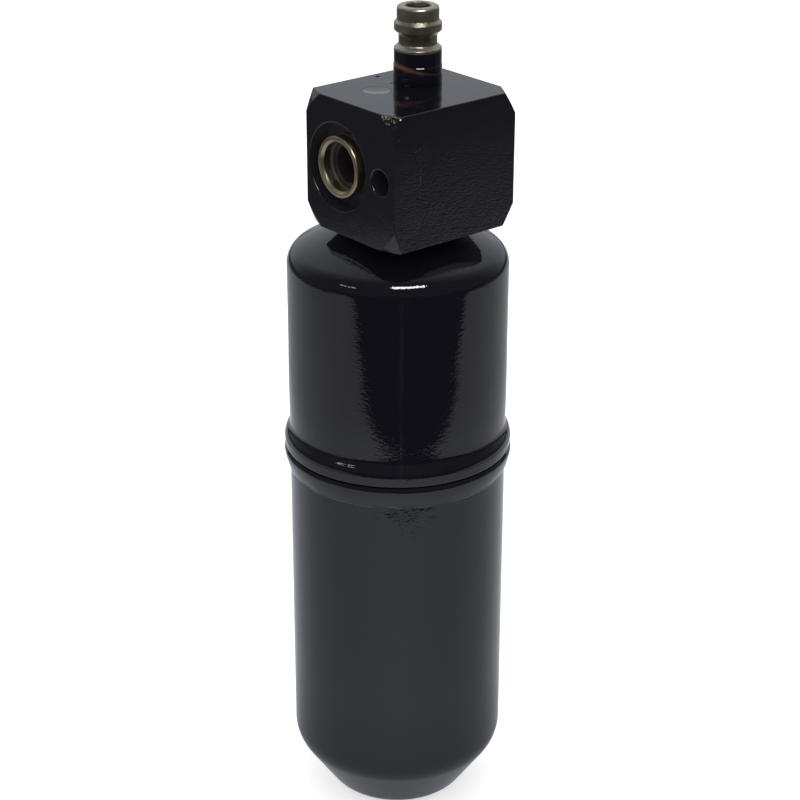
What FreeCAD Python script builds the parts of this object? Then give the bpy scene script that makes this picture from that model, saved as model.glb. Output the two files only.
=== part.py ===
import FreeCAD, Part
import math
import os
import re
import Sketcher

# Receiver drier of a vehicle air conditioner: a two-shell steel can under a square steel head block.
# The origin is the centre of the can's flat foot, +Z is up, the inlet face looks along -X.
# All lengths are in millimetres and all angles in degrees.

SIZES = {
    # can shells, deep drawn from steel sheet
    "can_radius": 38.0,
    "shell_wall": 1.7,
    "base_radius": 18.0,
    "base_fillet": 9.5,
    "cone_angle": 55.4,
    "corner_fillet": 13.8,
    "shoulder_height": 206.3,
    "shoulder_radius": 7.0,
    "crown_radius": 70.0,
    # seam where the upper shell's bell laps over the lower shell
    "seam_height": 138.8,
    "lap_length": 4.1,
    "lap_gap": 0.05,
    "rim_gap": 0.3,
    "bell_bend": 0.4,
    "lip_height": 3.9,
    "lip_step": 0.12,
    "lip_chamfer": 0.45,
    # fillet weld round the seam
    "weld_length": 7.9,
    "weld_height": 1.92,
    "weld_crown": 24.0,
    "weld_crest": 1.3,
    "weld_inset": 0.55,
    # head block, a square bar cut to length
    "block_width": 45.8,
    "block_length": 51.8,
    "neck_space": 1.964,
    "block_shift": 6.4,
    "end_circle": 27.4,
    "inlet_bevel": 3.2,
    "outlet_bevel": 4.8,
    "bevel_overrun": 2.0,
    "edge_break": 0.5,
    "spigot_radius": 14.5,
    "spigot_length": 8.0,
    "spigot_chamfer": 0.8,
    "neck_gap": 0.05,
    "neck_weld_leg": 1.5,
    # pilot sleeves in the two counterbored ports
    "counterbore_radius": 14.75,
    "counterbore_depth": 6.0,
    "sleeve_radius": 10.4,
    "sleeve_seat": 6.5,
    "sleeve_bore": 7.75,
    "sleeve_lip": 0.9,
    "sleeve_chamfer": 0.45,
    "sleeve_step": 5.0,
    "passage_radius": 6.5,
    "inlet_passage": 19.0,
    "outlet_passage": 29.0,
    "braze_gap": 0.05,
    # tapped flange holes beside the ports
    "stud_offset": 21.7,
    "stud_core": 4.25,
    "stud_mouth": 4.9,
    "stud_depth": 16.0,
    "drill_point": 31.0,
    # drillings from the top of the block and their plug
    "plug_offset": 9.2,
    "plug_radius": 4.75,
    "plug_thickness": 1.8,
    "plug_dish": 0.6,
    "plug_gap": 0.02,
    "inlet_drill": 3.2,
    "port_offset": 8.4,
    "port_drill": 2.0,
    # service port
    "stub_radius": 8.05,
    "stub_height": 4.0,
    "stub_spigot": 6.0,
    "stub_depth": 7.0,
    "port_socket": 5.05,
    "socket_gap": 0.2,
    "ring_thickness": 0.9,
    "ring_radius": 8.12,
    "port_radius": 8.0,
    "port_height": 25.7,
    "port_spigot": 4.5,
    "port_shoulder": 11.8,
    "port_slope": 1.2,
    "port_neck": 6.45,
    "groove_top": 16.4,
    "ridge_bottom": 17.7,
    "ridge_top": 20.1,
    "port_tip": 7.05,
    "tip_bottom": 21.1,
    "tip_round": 1.0,
    "mouth_radius": 4.2,
    "mouth_depth": 6.0,
    "mouth_chamfer": 0.35,
    # valve core in the service port
    "core_bore": 2.65,
    "core_gap": 0.05,
    "core_bottom": 10.0,
    "core_length": 5.5,
    "gasket_height": 0.8,
    "gasket_depth": 0.45,
    "gasket_rise": 1.0,
    "chamber_radius": 2.3,
    "chamber_depth": 4.0,
    "pin_radius": 0.8,
    "pin_gap": 0.07,
    "pin_top": 21.6,
    "pin_head": 0.9,
    "pin_chamfer": 0.3,
    "pin_head_radius": 1.4,
    "valve_disc_radius": 1.9,
    "valve_disc": 1.0,
    "seal_thickness": 0.6,
    "core_wire": 0.2,
    "core_coil": 1.15,
    "core_turns": 5,
    # pick-up tube and its strainer
    "tube_radius": 4.5,
    "tube_wall": 0.8,
    "tube_seat": 12.0,
    "tube_rise": 4.0,
    "strainer_radius": 7.0,
    "strainer_bottom": 4.0,
    "strainer_clearance": 4.0,
    "strainer_wall": 0.6,
    # filter and desiccant pack
    "plate_gap": 0.2,
    "plate_thickness": 1.2,
    "plate_rim": 5.0,
    "tube_clearance": 0.25,
    "hole_radius": 2.5,
    "inner_ring": 14.0,
    "inner_holes": 8,
    "outer_ring": 27.0,
    "outer_holes": 14,
    "pad_thickness": 6.0,
    "pack_clearance": 0.3,
    "bed_rise": 8.27,
    # spring that holds the pack down
    "bed_wire": 1.1,
    "bed_coil": 26.0,
    "bed_turns": 6,
}

# A spring's wire has WIRE_SIDES flats. It turns in COIL_STEPS spans, and each end lies flat for CLOSED_TURNS.
WIRE_SIDES = 8
COIL_STEPS = 15
CLOSED_TURNS = 0.6

# Formulas that several pieces share
CONE = "cone_angle * 1 deg"
INNER_RADIUS = "(can_radius - shell_wall)"
FOOT_RADIUS = f"(base_radius + base_fillet * sin({CONE}))"
FOOT_HEIGHT = f"(base_fillet * (1 - cos({CONE})))"
CORNER_CENTRE = "(can_radius - corner_fillet)"
CORNER_RADIUS = f"({CORNER_CENTRE} + corner_fillet * sin({CONE}))"
CORNER_LOW = f"({FOOT_HEIGHT} + ({CORNER_RADIUS} - {FOOT_RADIUS}) * tan({CONE}))"
CORNER_HEIGHT = f"({CORNER_LOW} + corner_fillet * cos({CONE}))"

RIM_TOP = "(seam_height + lap_length)"
BELL_HEIGHT = f"({RIM_TOP} + rim_gap)"
BELL_STEP = "(lap_gap + shell_wall)"
BELL_RADIUS = f"(can_radius + {BELL_STEP})"
BEND_RADIUS = "(shell_wall + bell_bend)"
BEND_COS = f"(1 - {BELL_STEP} / (2 * {BEND_RADIUS}))"
BEND_SIN = f"sqrt(1 - {BEND_COS} ^ 2)"
FLARE_MIDDLE = f"({BELL_HEIGHT} + {BEND_RADIUS} * {BEND_SIN})"
FLARE_TOP = f"({BELL_HEIGHT} + 2 * {BEND_RADIUS} * {BEND_SIN})"
LIP_RADIUS = f"({BELL_RADIUS} + lip_step)"

SHOULDER_CENTRE = "(can_radius - shoulder_radius)"
CROWN_COS = f"({SHOULDER_CENTRE} / (crown_radius - shoulder_radius))"
CROWN_SIN = f"sqrt(1 - {CROWN_COS} ^ 2)"
CROWN_CENTRE = f"(shoulder_height - (crown_radius - shoulder_radius) * {CROWN_SIN})"
NECK_RADIUS = "(spigot_radius + neck_gap)"


def dome_height(radius, thickness="0"):
    """Height of the dome at a radius, on its outside or a thickness below it."""
    return f"({CROWN_CENTRE} + sqrt((crown_radius - {thickness}) ^ 2 - ({radius}) ^ 2))"


# The block stands on the dome, with room under it for the neck weld.
BLOCK_BOTTOM = f"({dome_height('spigot_radius')} + neck_space)"
BLOCK_TOP = f"({BLOCK_BOTTOM} + block_width)"
BLOCK_MIDDLE = f"({BLOCK_BOTTOM} + block_width / 2)"
SPIGOT_BOTTOM = f"({BLOCK_BOTTOM} - spigot_length)"
SLEEVE_LENGTH = "(counterbore_depth + sleeve_seat)"

PORT_SEAT = "(stub_height + ring_thickness)"
PORT_BOTTOM = f"({PORT_SEAT} - port_spigot)"
CORE_TOP = "(core_bottom + core_length)"
PIN_SHOULDER = "(pin_top - pin_head)"

PLATE_RADIUS = f"({INNER_RADIUS} - plate_gap)"
PLATE_REACH = f"({PLATE_RADIUS} - {CORNER_CENTRE})"
PLATE_SEAT = f"({CORNER_HEIGHT} - sqrt((corner_fillet - shell_wall) ^ 2 - {PLATE_REACH} ^ 2))"
LOWER_PAD = f"({PLATE_SEAT} + plate_thickness)"
BED_BOTTOM = f"({LOWER_PAD} + pad_thickness)"
UPPER_PAD = "(seam_height + bed_rise)"
BED_HEIGHT = f"({UPPER_PAD} - {BED_BOTTOM})"
UPPER_PLATE = f"({UPPER_PAD} + pad_thickness + plate_thickness)"
TUBE_HOLE = "(tube_radius + tube_clearance)"
TUBE_BOTTOM = "(strainer_bottom + tube_rise)"
STRAINER_TOP = f"({PLATE_SEAT} - strainer_clearance)"

doc = FreeCAD.newDocument("receiver_drier")
sheet = doc.addObject("Spreadsheet::Sheet", "Size")
for row, (name, size) in enumerate(SIZES.items(), start=1):
    sheet.set(f"A{row}", str(size))
    sheet.setAlias(f"A{row}", name)
doc.recompute()


def formula(text):
    """A formula in plain size names, written for the document's sheet."""
    return re.sub(r"[a-z_]+", lambda word: ("Size." if word.group() in SIZES else "") + word.group(), text)


def number(text):
    return float(sheet.evalExpression(formula(text)))


def new_body(label, across="0", up="0", turned=0):
    """A body whose place follows the sheet, turned about the Y axis by whole quarter turns."""
    body = doc.addObject("PartDesign::Body", label)
    body.Label = label
    body.Placement = FreeCAD.Placement(FreeCAD.Vector(), FreeCAD.Rotation(FreeCAD.Vector(0, 1, 0), turned))
    body.setExpression("Placement.Base.x", formula(across))
    body.setExpression("Placement.Base.z", formula(up))
    return body


def new_sketch(body, name, plane, across="0", up="0", out="0", turned=0):
    """A sketch on one of the body's own planes, moved in that plane and turned about its normal."""
    sketch = body.newObject("Sketcher::SketchObject", name)
    support = next(item for item in body.Origin.OriginFeatures if item.Role == plane)
    sketch.AttachmentSupport = (support, [""])
    sketch.MapMode = "FlatFace"
    turn = FreeCAD.Rotation(FreeCAD.Vector(0, 0, 1), turned)
    sketch.AttachmentOffset = FreeCAD.Placement(FreeCAD.Vector(), turn)
    for axis, text in zip("xyz", (across, up, out)):
        sketch.setExpression(f"AttachmentOffset.Base.{axis}", formula(text))
    return sketch


def hold(sketch, geometry, point, across, up):
    """Hold a point at its distances from the sketch's origin."""
    for kind, text, axis in (("DistanceX", across, -2), ("DistanceY", up, -1)):
        distance = number(text)
        if abs(distance) < 1e-9:
            sketch.addConstraint(Sketcher.Constraint("PointOnObject", geometry, point, axis))
        elif distance > 0:
            held = sketch.addConstraint(Sketcher.Constraint(kind, -1, 1, geometry, point, distance))
            sketch.setExpression(f"Constraints[{held}]", formula(text))
        else:
            held = sketch.addConstraint(Sketcher.Constraint(kind, geometry, point, -1, 1, -distance))
            sketch.setExpression(f"Constraints[{held}]", formula(f"-({text})"))


def arc_centre(start, end, radius, side):
    """Centre of the short arc from start to end that turns to the named side."""
    chord = end - start
    reach = math.sqrt(max(radius ** 2 - (chord.Length / 2) ** 2, 0))
    left = FreeCAD.Vector(-chord.y, chord.x, 0) / chord.Length
    return (start + end) / 2 + left * (reach if side == "left" else -reach)


def angle_at(centre, point):
    return math.atan2(point.y - centre.y, point.x - centre.x)


def draw_outline(sketch, outline):
    """Close an outline of corners. A corner with a radius and a side is reached along an arc."""
    corners = [FreeCAD.Vector(number(corner[0]), number(corner[1]), 0) for corner in outline]
    ends = []
    for index, corner in enumerate(outline):
        start = corners[index - 1]
        end = corners[index]
        if len(corner) == 2:
            edge = sketch.addGeometry(Part.LineSegment(start, end), False)
            ends.append((1, 2))
            continue
        radius, side = corner[2:]
        centre = arc_centre(start, end, number(radius), side)
        circle = Part.Circle(centre, FreeCAD.Vector(0, 0, 1), number(radius))
        first, last = (start, end) if side == "left" else (end, start)
        arc = Part.ArcOfCircle(circle, angle_at(centre, first), angle_at(centre, last))
        edge = sketch.addGeometry(arc, False)
        ends.append((1, 2) if side == "left" else (2, 1))
        size = sketch.addConstraint(Sketcher.Constraint("Radius", edge, number(radius)))
        sketch.setExpression(f"Constraints[{size}]", formula(radius))
    for index, corner in enumerate(outline):
        following = (index + 1) % len(outline)
        meet = Sketcher.Constraint("Coincident", index, ends[index][1], following, ends[following][0])
        sketch.addConstraint(meet)
        hold(sketch, index, ends[index][1], corner[0], corner[1])


def turn_outline(body, name, outline, cut=False, **place):
    """Turn an outline of (radius, length) corners about its own vertical axis, as metal or as a cut."""
    sketch = new_sketch(body, name + "_outline", "XZ_Plane", **place)
    draw_outline(sketch, outline)
    feature = body.newObject("PartDesign::Groove" if cut else "PartDesign::Revolution", name)
    feature.Profile = sketch
    feature.ReferenceAxis = (sketch, ["V_Axis"])
    feature.Angle = 360
    doc.recompute()
    return feature


def turned_piece(label, outline, **place):
    body = new_body(label, **place)
    turn_outline(body, label + "_turned", outline)
    return body


def drill_ring(body, name, ring, holes):
    """A ring of round holes through a plate."""
    sketch = new_sketch(body, name + "_sketch", "XY_Plane")
    circle = Part.Circle(FreeCAD.Vector(number(ring), 0, 0), FreeCAD.Vector(0, 0, 1), number("hole_radius"))
    hole = sketch.addGeometry(circle, False)
    size = sketch.addConstraint(Sketcher.Constraint("Radius", hole, number("hole_radius")))
    sketch.setExpression(f"Constraints[{size}]", formula("hole_radius"))
    hold(sketch, hole, 3, ring, "0")
    pocket = body.newObject("PartDesign::Pocket", name + "_pocket")
    pocket.Profile = sketch
    pocket.Type = "ThroughAll"
    pocket.Midplane = True
    doc.recompute()
    pattern = body.newObject("PartDesign::PolarPattern", name)
    pattern.Originals = [pocket]
    pattern.Axis = (sketch, ["N_Axis"])
    pattern.Angle = 360
    pattern.setExpression("Occurrences", formula(holes))
    body.Tip = pattern
    doc.recompute()


def coil_spring(label, coil, wire, length, turns, up, across="0"):
    """A compression spring of round wire with closed ends, lofted along its coil through ruled spans."""
    mean = number(coil)
    thick = number(wire)
    count = int(number(turns))
    corner_reach = thick / math.cos(math.pi / WIRE_SIDES)
    rise = number(length) - 2 * thick
    sections = []
    for step in range(count * COIL_STEPS + 1):
        turn = step / COIL_STEPS
        climbed = min(max((turn - CLOSED_TURNS) / (count - 2 * CLOSED_TURNS), 0), 1)
        heading = math.tau * turn
        section = []
        for side in range(WIRE_SIDES):
            angle = math.tau * (side + 0.5) / WIRE_SIDES
            out = mean + corner_reach * math.cos(angle)
            height = thick + rise * climbed + corner_reach * math.sin(angle)
            section.append(FreeCAD.Vector(out * math.cos(heading), out * math.sin(heading), height))
        sections.append(Part.makePolygon(section + section[:1]))
    spring = doc.addObject("Part::Feature", label)
    spring.Label = label
    spring.Shape = Part.makeLoft(sections, True, True)
    spring.Placement = FreeCAD.Placement(FreeCAD.Vector(number(across), 0, number(up)), FreeCAD.Rotation())
    return spring


# Lower shell: deep-drawn cup with a conical bottom and a small flat foot.
turned_piece("lower_shell", [
    ("0", "0"),
    ("base_radius", "0"),
    (FOOT_RADIUS, FOOT_HEIGHT, "base_fillet", "left"),
    (CORNER_RADIUS, CORNER_LOW),
    ("can_radius", CORNER_HEIGHT, "corner_fillet", "left"),
    ("can_radius", RIM_TOP),
    (INNER_RADIUS, RIM_TOP),
    (INNER_RADIUS, CORNER_HEIGHT),
    (f"{CORNER_RADIUS} - shell_wall * sin({CONE})", f"{CORNER_LOW} + shell_wall * cos({CONE})",
     "corner_fillet - shell_wall", "right"),
    (f"{FOOT_RADIUS} - shell_wall * sin({CONE})", f"{FOOT_HEIGHT} + shell_wall * cos({CONE})"),
    ("base_radius", "shell_wall", "base_fillet - shell_wall", "right"),
    ("0", "shell_wall"),
])

# Upper shell: deep-drawn cup upside down. Its dome is pierced for the block's spigot, and its mouth is
# expanded into a bell that slips over the lower shell, with a trimmed lip round its end.
turned_piece("upper_shell", [
    ("can_radius + lap_gap", "seam_height"),
    (f"{LIP_RADIUS} - lip_chamfer", "seam_height"),
    (LIP_RADIUS, "seam_height + lip_chamfer"),
    (LIP_RADIUS, "seam_height + lip_height - lip_step"),
    (BELL_RADIUS, "seam_height + lip_height"),
    (BELL_RADIUS, BELL_HEIGHT),
    (f"can_radius + {BELL_STEP} / 2", FLARE_MIDDLE, BEND_RADIUS, "left"),
    ("can_radius", FLARE_TOP, BEND_RADIUS, "right"),
    ("can_radius", "shoulder_height"),
    (f"{SHOULDER_CENTRE} + shoulder_radius * {CROWN_COS}", f"shoulder_height + shoulder_radius * {CROWN_SIN}",
     "shoulder_radius", "left"),
    (NECK_RADIUS, dome_height(NECK_RADIUS), "crown_radius", "left"),
    (NECK_RADIUS, dome_height(NECK_RADIUS, "shell_wall")),
    (f"{SHOULDER_CENTRE} + (shoulder_radius - shell_wall) * {CROWN_COS}",
     f"shoulder_height + (shoulder_radius - shell_wall) * {CROWN_SIN}", "crown_radius - shell_wall", "right"),
    (INNER_RADIUS, "shoulder_height", "shoulder_radius - shell_wall", "right"),
    (INNER_RADIUS, FLARE_TOP),
    (f"can_radius + {BELL_STEP} / 2 - shell_wall * {BEND_COS}", f"{FLARE_MIDDLE} - shell_wall * {BEND_SIN}",
     f"{BEND_RADIUS} + shell_wall", "left"),
    ("can_radius + lap_gap", BELL_HEIGHT, "bell_bend", "right"),
])

# Girth weld: one fillet bead under the lip, joining it to the lower shell.
turned_piece("girth_weld", [
    ("can_radius", "seam_height - weld_length"),
    ("can_radius + weld_height", "seam_height - weld_crest", "weld_crown", "left"),
    ("can_radius + weld_height - weld_inset", "seam_height"),
    ("can_radius", "seam_height"),
])

# Head block: a length of square bar, turned down at both ends to a conical bevel about its own middle.
head_block = new_body("head_block")
bar_section = new_sketch(head_block, "bar_section", "YZ_Plane")
draw_outline(bar_section, [
    ("-block_shift - block_width / 2", BLOCK_BOTTOM),
    ("-block_shift + block_width / 2", BLOCK_BOTTOM),
    ("-block_shift + block_width / 2", BLOCK_TOP),
    ("-block_shift - block_width / 2", BLOCK_TOP),
])
bar = head_block.newObject("PartDesign::Pad", "bar")
bar.Profile = bar_section
bar.Midplane = True
bar.setExpression("Length", formula("block_length"))
doc.recompute()

turn_outline(head_block, "spigot", [
    ("0", SPIGOT_BOTTOM),
    ("spigot_radius - spigot_chamfer", SPIGOT_BOTTOM),
    ("spigot_radius", f"{SPIGOT_BOTTOM} + spigot_chamfer"),
    ("spigot_radius", BLOCK_BOTTOM),
    ("0", BLOCK_BOTTOM),
])

# Each end is worked from its own face: the depth runs into the block, inlet end first.
ENDS = {
    "inlet": {"across": "-block_length / 2", "turned": -90},
    "outlet": {"across": "block_length / 2", "turned": 90},
}
HALF_DIAGONAL = "(block_width / sqrt(2))"
REACH = f"({HALF_DIAGONAL} + bevel_overrun)"
PASSAGES = {"inlet": "inlet_passage", "outlet": "outlet_passage"}
for end, place in ENDS.items():
    turn_outline(head_block, end + "_bevel_cut", [
        ("end_circle", "0"),
        (REACH, "0"),
        (REACH, f"{end}_bevel * ({REACH} - end_circle) / ({HALF_DIAGONAL} - end_circle)"),
    ], cut=True, up=BLOCK_MIDDLE, out="block_shift", **place)
    turn_outline(head_block, end + "_port_bore", [
        ("0", "0"),
        ("counterbore_radius + edge_break", "0"),
        ("counterbore_radius", "edge_break"),
        ("counterbore_radius", "counterbore_depth"),
        ("sleeve_radius + braze_gap", "counterbore_depth"),
        ("sleeve_radius + braze_gap", SLEEVE_LENGTH),
        ("passage_radius", SLEEVE_LENGTH),
        ("passage_radius", PASSAGES[end]),
        ("0", PASSAGES[end]),
    ], cut=True, up=BLOCK_MIDDLE, **place)
    turn_outline(head_block, end + "_stud_bore", [
        ("0", "0"),
        ("stud_mouth", "0"),
        ("stud_core", "stud_mouth - stud_core"),
        ("stud_core", "stud_depth"),
        ("0", "stud_depth + stud_core * tan(drill_point * 1 deg)"),
    ], cut=True, up=BLOCK_MIDDLE, out="stud_offset", **place)

# Drillings from the top: the inlet's way down into the can, closed by a plug, and the service port's.
turn_outline(head_block, "inlet_drilling", [
    ("0", "0"),
    ("plug_radius + plug_gap", "0"),
    ("plug_radius + plug_gap", "plug_thickness"),
    ("inlet_drill", "plug_thickness"),
    ("inlet_drill", "block_width + spigot_length"),
    ("0", "block_width + spigot_length"),
], cut=True, across="-plug_offset", up=BLOCK_TOP, turned=180)
turn_outline(head_block, "port_drilling", [
    ("0", "0"),
    ("stub_spigot + braze_gap", "0"),
    ("stub_spigot + braze_gap", "stub_depth"),
    ("port_drill", "stub_depth"),
    ("port_drill", "block_width / 2"),
    ("0", "block_width / 2"),
], cut=True, across="port_offset", up=BLOCK_TOP, turned=180)

# Socket for the pick-up tube, up from the spigot into the outlet passage.
turn_outline(head_block, "tube_socket", [
    ("0", "0"),
    ("tube_radius + braze_gap", "0"),
    ("tube_radius + braze_gap", "tube_seat"),
    ("tube_radius - tube_wall", "tube_seat"),
    ("tube_radius - tube_wall", "spigot_length + block_width / 2"),
    ("0", "spigot_length + block_width / 2"),
], cut=True, up=SPIGOT_BOTTOM)

# Neck weld: fillet bead between the dome's pierced edge and the block's spigot.
WELD_TOE = "(spigot_radius + neck_weld_leg)"
turned_piece("neck_weld", [
    ("spigot_radius", f"{dome_height('spigot_radius')} + neck_weld_leg"),
    (WELD_TOE, dome_height(WELD_TOE)),
    ("spigot_radius", dome_height("spigot_radius"), "crown_radius", "left"),
])

# Pilot sleeves: short steel tubes brazed in the counterbored ports, ends flush with the block's faces.
for end, way in (("inlet", 90), ("outlet", -90)):
    turned_piece(end + "_sleeve", [
        ("sleeve_bore + sleeve_lip", "0"),
        ("sleeve_radius - sleeve_chamfer", "0"),
        ("sleeve_radius", "sleeve_chamfer"),
        ("sleeve_radius", SLEEVE_LENGTH),
        ("passage_radius", SLEEVE_LENGTH),
        ("passage_radius", "sleeve_step"),
        ("sleeve_bore", "sleeve_step"),
        ("sleeve_bore", "sleeve_lip"),
    ], across=ENDS[end]["across"], up=BLOCK_MIDDLE, turned=way)

# Sealing plug: dished disc pressed into the top of the inlet drilling.
turned_piece("sealing_plug", [
    ("0", "0"),
    ("plug_radius", "0"),
    ("plug_radius", "plug_thickness"),
    ("plug_radius - plug_dish", "plug_thickness"),
    ("0", "plug_thickness - plug_dish", "(plug_radius - plug_dish) ^ 2 / (2 * plug_dish) + plug_dish / 2",
     "right"),
], across="-plug_offset", up=f"{BLOCK_TOP} - plug_thickness")

# Service port: a stub brazed in the block, a copper braze ring and the quick-coupler port on top.
AT_PORT = {"across": "port_offset", "up": BLOCK_TOP}
turned_piece("port_stub", [
    ("port_drill", "-stub_depth"),
    ("stub_spigot", "-stub_depth"),
    ("stub_spigot", "0"),
    ("stub_radius", "0"),
    ("stub_radius", "stub_height"),
    ("port_socket", "stub_height"),
    ("port_socket", f"{PORT_BOTTOM} - socket_gap"),
    ("port_drill", f"{PORT_BOTTOM} - socket_gap"),
], **AT_PORT)
turned_piece("braze_ring", [
    ("port_socket", "stub_height"),
    ("ring_radius", "stub_height"),
    ("ring_radius", PORT_SEAT),
    ("port_socket", PORT_SEAT),
], **AT_PORT)
turned_piece("service_port", [
    ("port_drill", PORT_BOTTOM),
    ("port_socket - braze_gap", PORT_BOTTOM),
    ("port_socket - braze_gap", PORT_SEAT),
    ("port_radius", PORT_SEAT),
    ("port_radius", "port_shoulder"),
    ("port_neck", "port_shoulder + port_slope"),
    ("port_neck", "groove_top"),
    ("port_radius", "ridge_bottom"),
    ("port_radius", "ridge_top"),
    ("port_tip", "tip_bottom"),
    ("port_tip", "port_height - tip_round"),
    ("port_tip - tip_round", "port_height", "tip_round", "left"),
    ("mouth_radius + mouth_chamfer", "port_height"),
    ("mouth_radius", "port_height - mouth_chamfer"),
    ("mouth_radius", "port_height - mouth_depth"),
    ("core_bore", "port_height - mouth_depth"),
    ("core_bore", "core_bottom"),
    ("chamber_radius", "core_bottom"),
    ("chamber_radius", "core_bottom - chamber_depth"),
    ("port_drill", "core_bottom - chamber_depth"),
], **AT_PORT)

# Valve core: a brass barrel screwed into the port, its gasket, and the sprung pin that a coupler presses.
CORE_RADIUS = "(core_bore - core_gap)"
turned_piece("core_barrel", [
    ("pin_radius + pin_gap", "core_bottom"),
    (CORE_RADIUS, "core_bottom"),
    (CORE_RADIUS, "core_bottom + gasket_rise"),
    ("core_bore - gasket_depth", "core_bottom + gasket_rise"),
    ("core_bore - gasket_depth", "core_bottom + gasket_rise + gasket_height"),
    (CORE_RADIUS, "core_bottom + gasket_rise + gasket_height"),
    (CORE_RADIUS, CORE_TOP),
    ("pin_radius + pin_gap", CORE_TOP),
], **AT_PORT)
turned_piece("core_gasket", [
    ("core_bore - gasket_depth", "core_bottom + gasket_rise"),
    ("core_bore", "core_bottom + gasket_rise"),
    ("core_bore", "core_bottom + gasket_rise + gasket_height"),
    ("core_bore - gasket_depth", "core_bottom + gasket_rise + gasket_height"),
], **AT_PORT)
DISC_TOP = "(core_bottom - seal_thickness)"
turned_piece("valve_pin", [
    ("0", f"{DISC_TOP} - valve_disc"),
    ("valve_disc_radius", f"{DISC_TOP} - valve_disc"),
    ("valve_disc_radius", DISC_TOP),
    ("pin_radius", DISC_TOP),
    ("pin_radius", PIN_SHOULDER),
    ("pin_head_radius", PIN_SHOULDER),
    ("pin_head_radius", "pin_top - pin_chamfer"),
    ("pin_head_radius - pin_chamfer", "pin_top"),
    ("0", "pin_top"),
], **AT_PORT)
turned_piece("valve_seal", [
    ("pin_radius", DISC_TOP),
    ("valve_disc_radius", DISC_TOP),
    ("valve_disc_radius", "core_bottom"),
    ("pin_radius", "core_bottom"),
], **AT_PORT)
coil_spring("core_spring", "core_coil", "core_wire", f"{PIN_SHOULDER} - {CORE_TOP}", "core_turns",
            up=f"{BLOCK_TOP} + {CORE_TOP}", across="port_offset")

# Pick-up tube: brazed in the spigot, down the middle of the pack to the foot of the can.
turned_piece("pickup_tube", [
    ("tube_radius - tube_wall", TUBE_BOTTOM),
    ("tube_radius", TUBE_BOTTOM),
    ("tube_radius", f"{SPIGOT_BOTTOM} + tube_seat"),
    ("tube_radius - tube_wall", f"{SPIGOT_BOTTOM} + tube_seat"),
])
turned_piece("strainer", [
    ("0", "strainer_bottom"),
    ("strainer_radius", "strainer_bottom"),
    ("strainer_radius", STRAINER_TOP),
    ("tube_radius + braze_gap", STRAINER_TOP),
    ("tube_radius + braze_gap", f"{STRAINER_TOP} - strainer_wall"),
    ("strainer_radius - strainer_wall", f"{STRAINER_TOP} - strainer_wall"),
    ("strainer_radius - strainer_wall", "strainer_bottom + strainer_wall"),
    ("0", "strainer_bottom + strainer_wall"),
])

# Filter pack: perforated cups hold two felt pads, and the desiccant beads fill the space between them.
for label, up, turned in (("lower_plate", PLATE_SEAT, 0), ("upper_plate", UPPER_PLATE, 180)):
    plate = turned_piece(label, [
        (TUBE_HOLE, "0"),
        (PLATE_RADIUS, "0"),
        (PLATE_RADIUS, "plate_rim"),
        (f"{PLATE_RADIUS} - plate_thickness", "plate_rim"),
        (f"{PLATE_RADIUS} - plate_thickness", "plate_thickness"),
        (TUBE_HOLE, "plate_thickness"),
    ], up=up, turned=turned)
    drill_ring(plate, label + "_inner_holes", "inner_ring", "inner_holes")
    drill_ring(plate, label + "_outer_holes", "outer_ring", "outer_holes")
PAD_RADIUS = f"({PLATE_RADIUS} - plate_thickness - pack_clearance)"
BED_RADIUS = f"({INNER_RADIUS} - pack_clearance)"
for label, radius, up, height in (
    ("lower_pad", PAD_RADIUS, LOWER_PAD, "pad_thickness"),
    ("desiccant_bed", BED_RADIUS, BED_BOTTOM, BED_HEIGHT),
    ("upper_pad", PAD_RADIUS, UPPER_PAD, "pad_thickness"),
):
    turned_piece(label, [
        (TUBE_HOLE, "0"),
        (radius, "0"),
        (radius, height),
        (TUBE_HOLE, height),
    ], up=up)

# Pack spring: stands on the upper plate and bears on the inside of the dome.
SPRING_TOP = dome_height("bed_coil + bed_wire", "shell_wall")
coil_spring("pack_spring", "bed_coil", "bed_wire", f"{SPRING_TOP} - {UPPER_PLATE}", "bed_turns",
            up=UPPER_PLATE)

doc.recompute()
for item in doc.Objects:
    if "Invalid" in item.State or "Error" in item.State:
        raise RuntimeError(f"{item.Label} failed: {item.State}")

os.makedirs("parts", exist_ok=True)
for item in doc.Objects:
    if item.TypeId in ("PartDesign::Body", "Part::Feature"):
        if item.Shape.isNull() or not item.Shape.isValid() or len(item.Shape.Solids) != 1:
            raise RuntimeError(f"{item.Label} isn't one valid solid")
        print(f"{item.Label}: {item.Shape.Volume:.1f} mm3")
        item.Shape.exportStep(f"parts/{item.Label}.step")
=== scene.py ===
import math

import bmesh
import bpy
from mathutils import Matrix, Vector, noise


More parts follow.
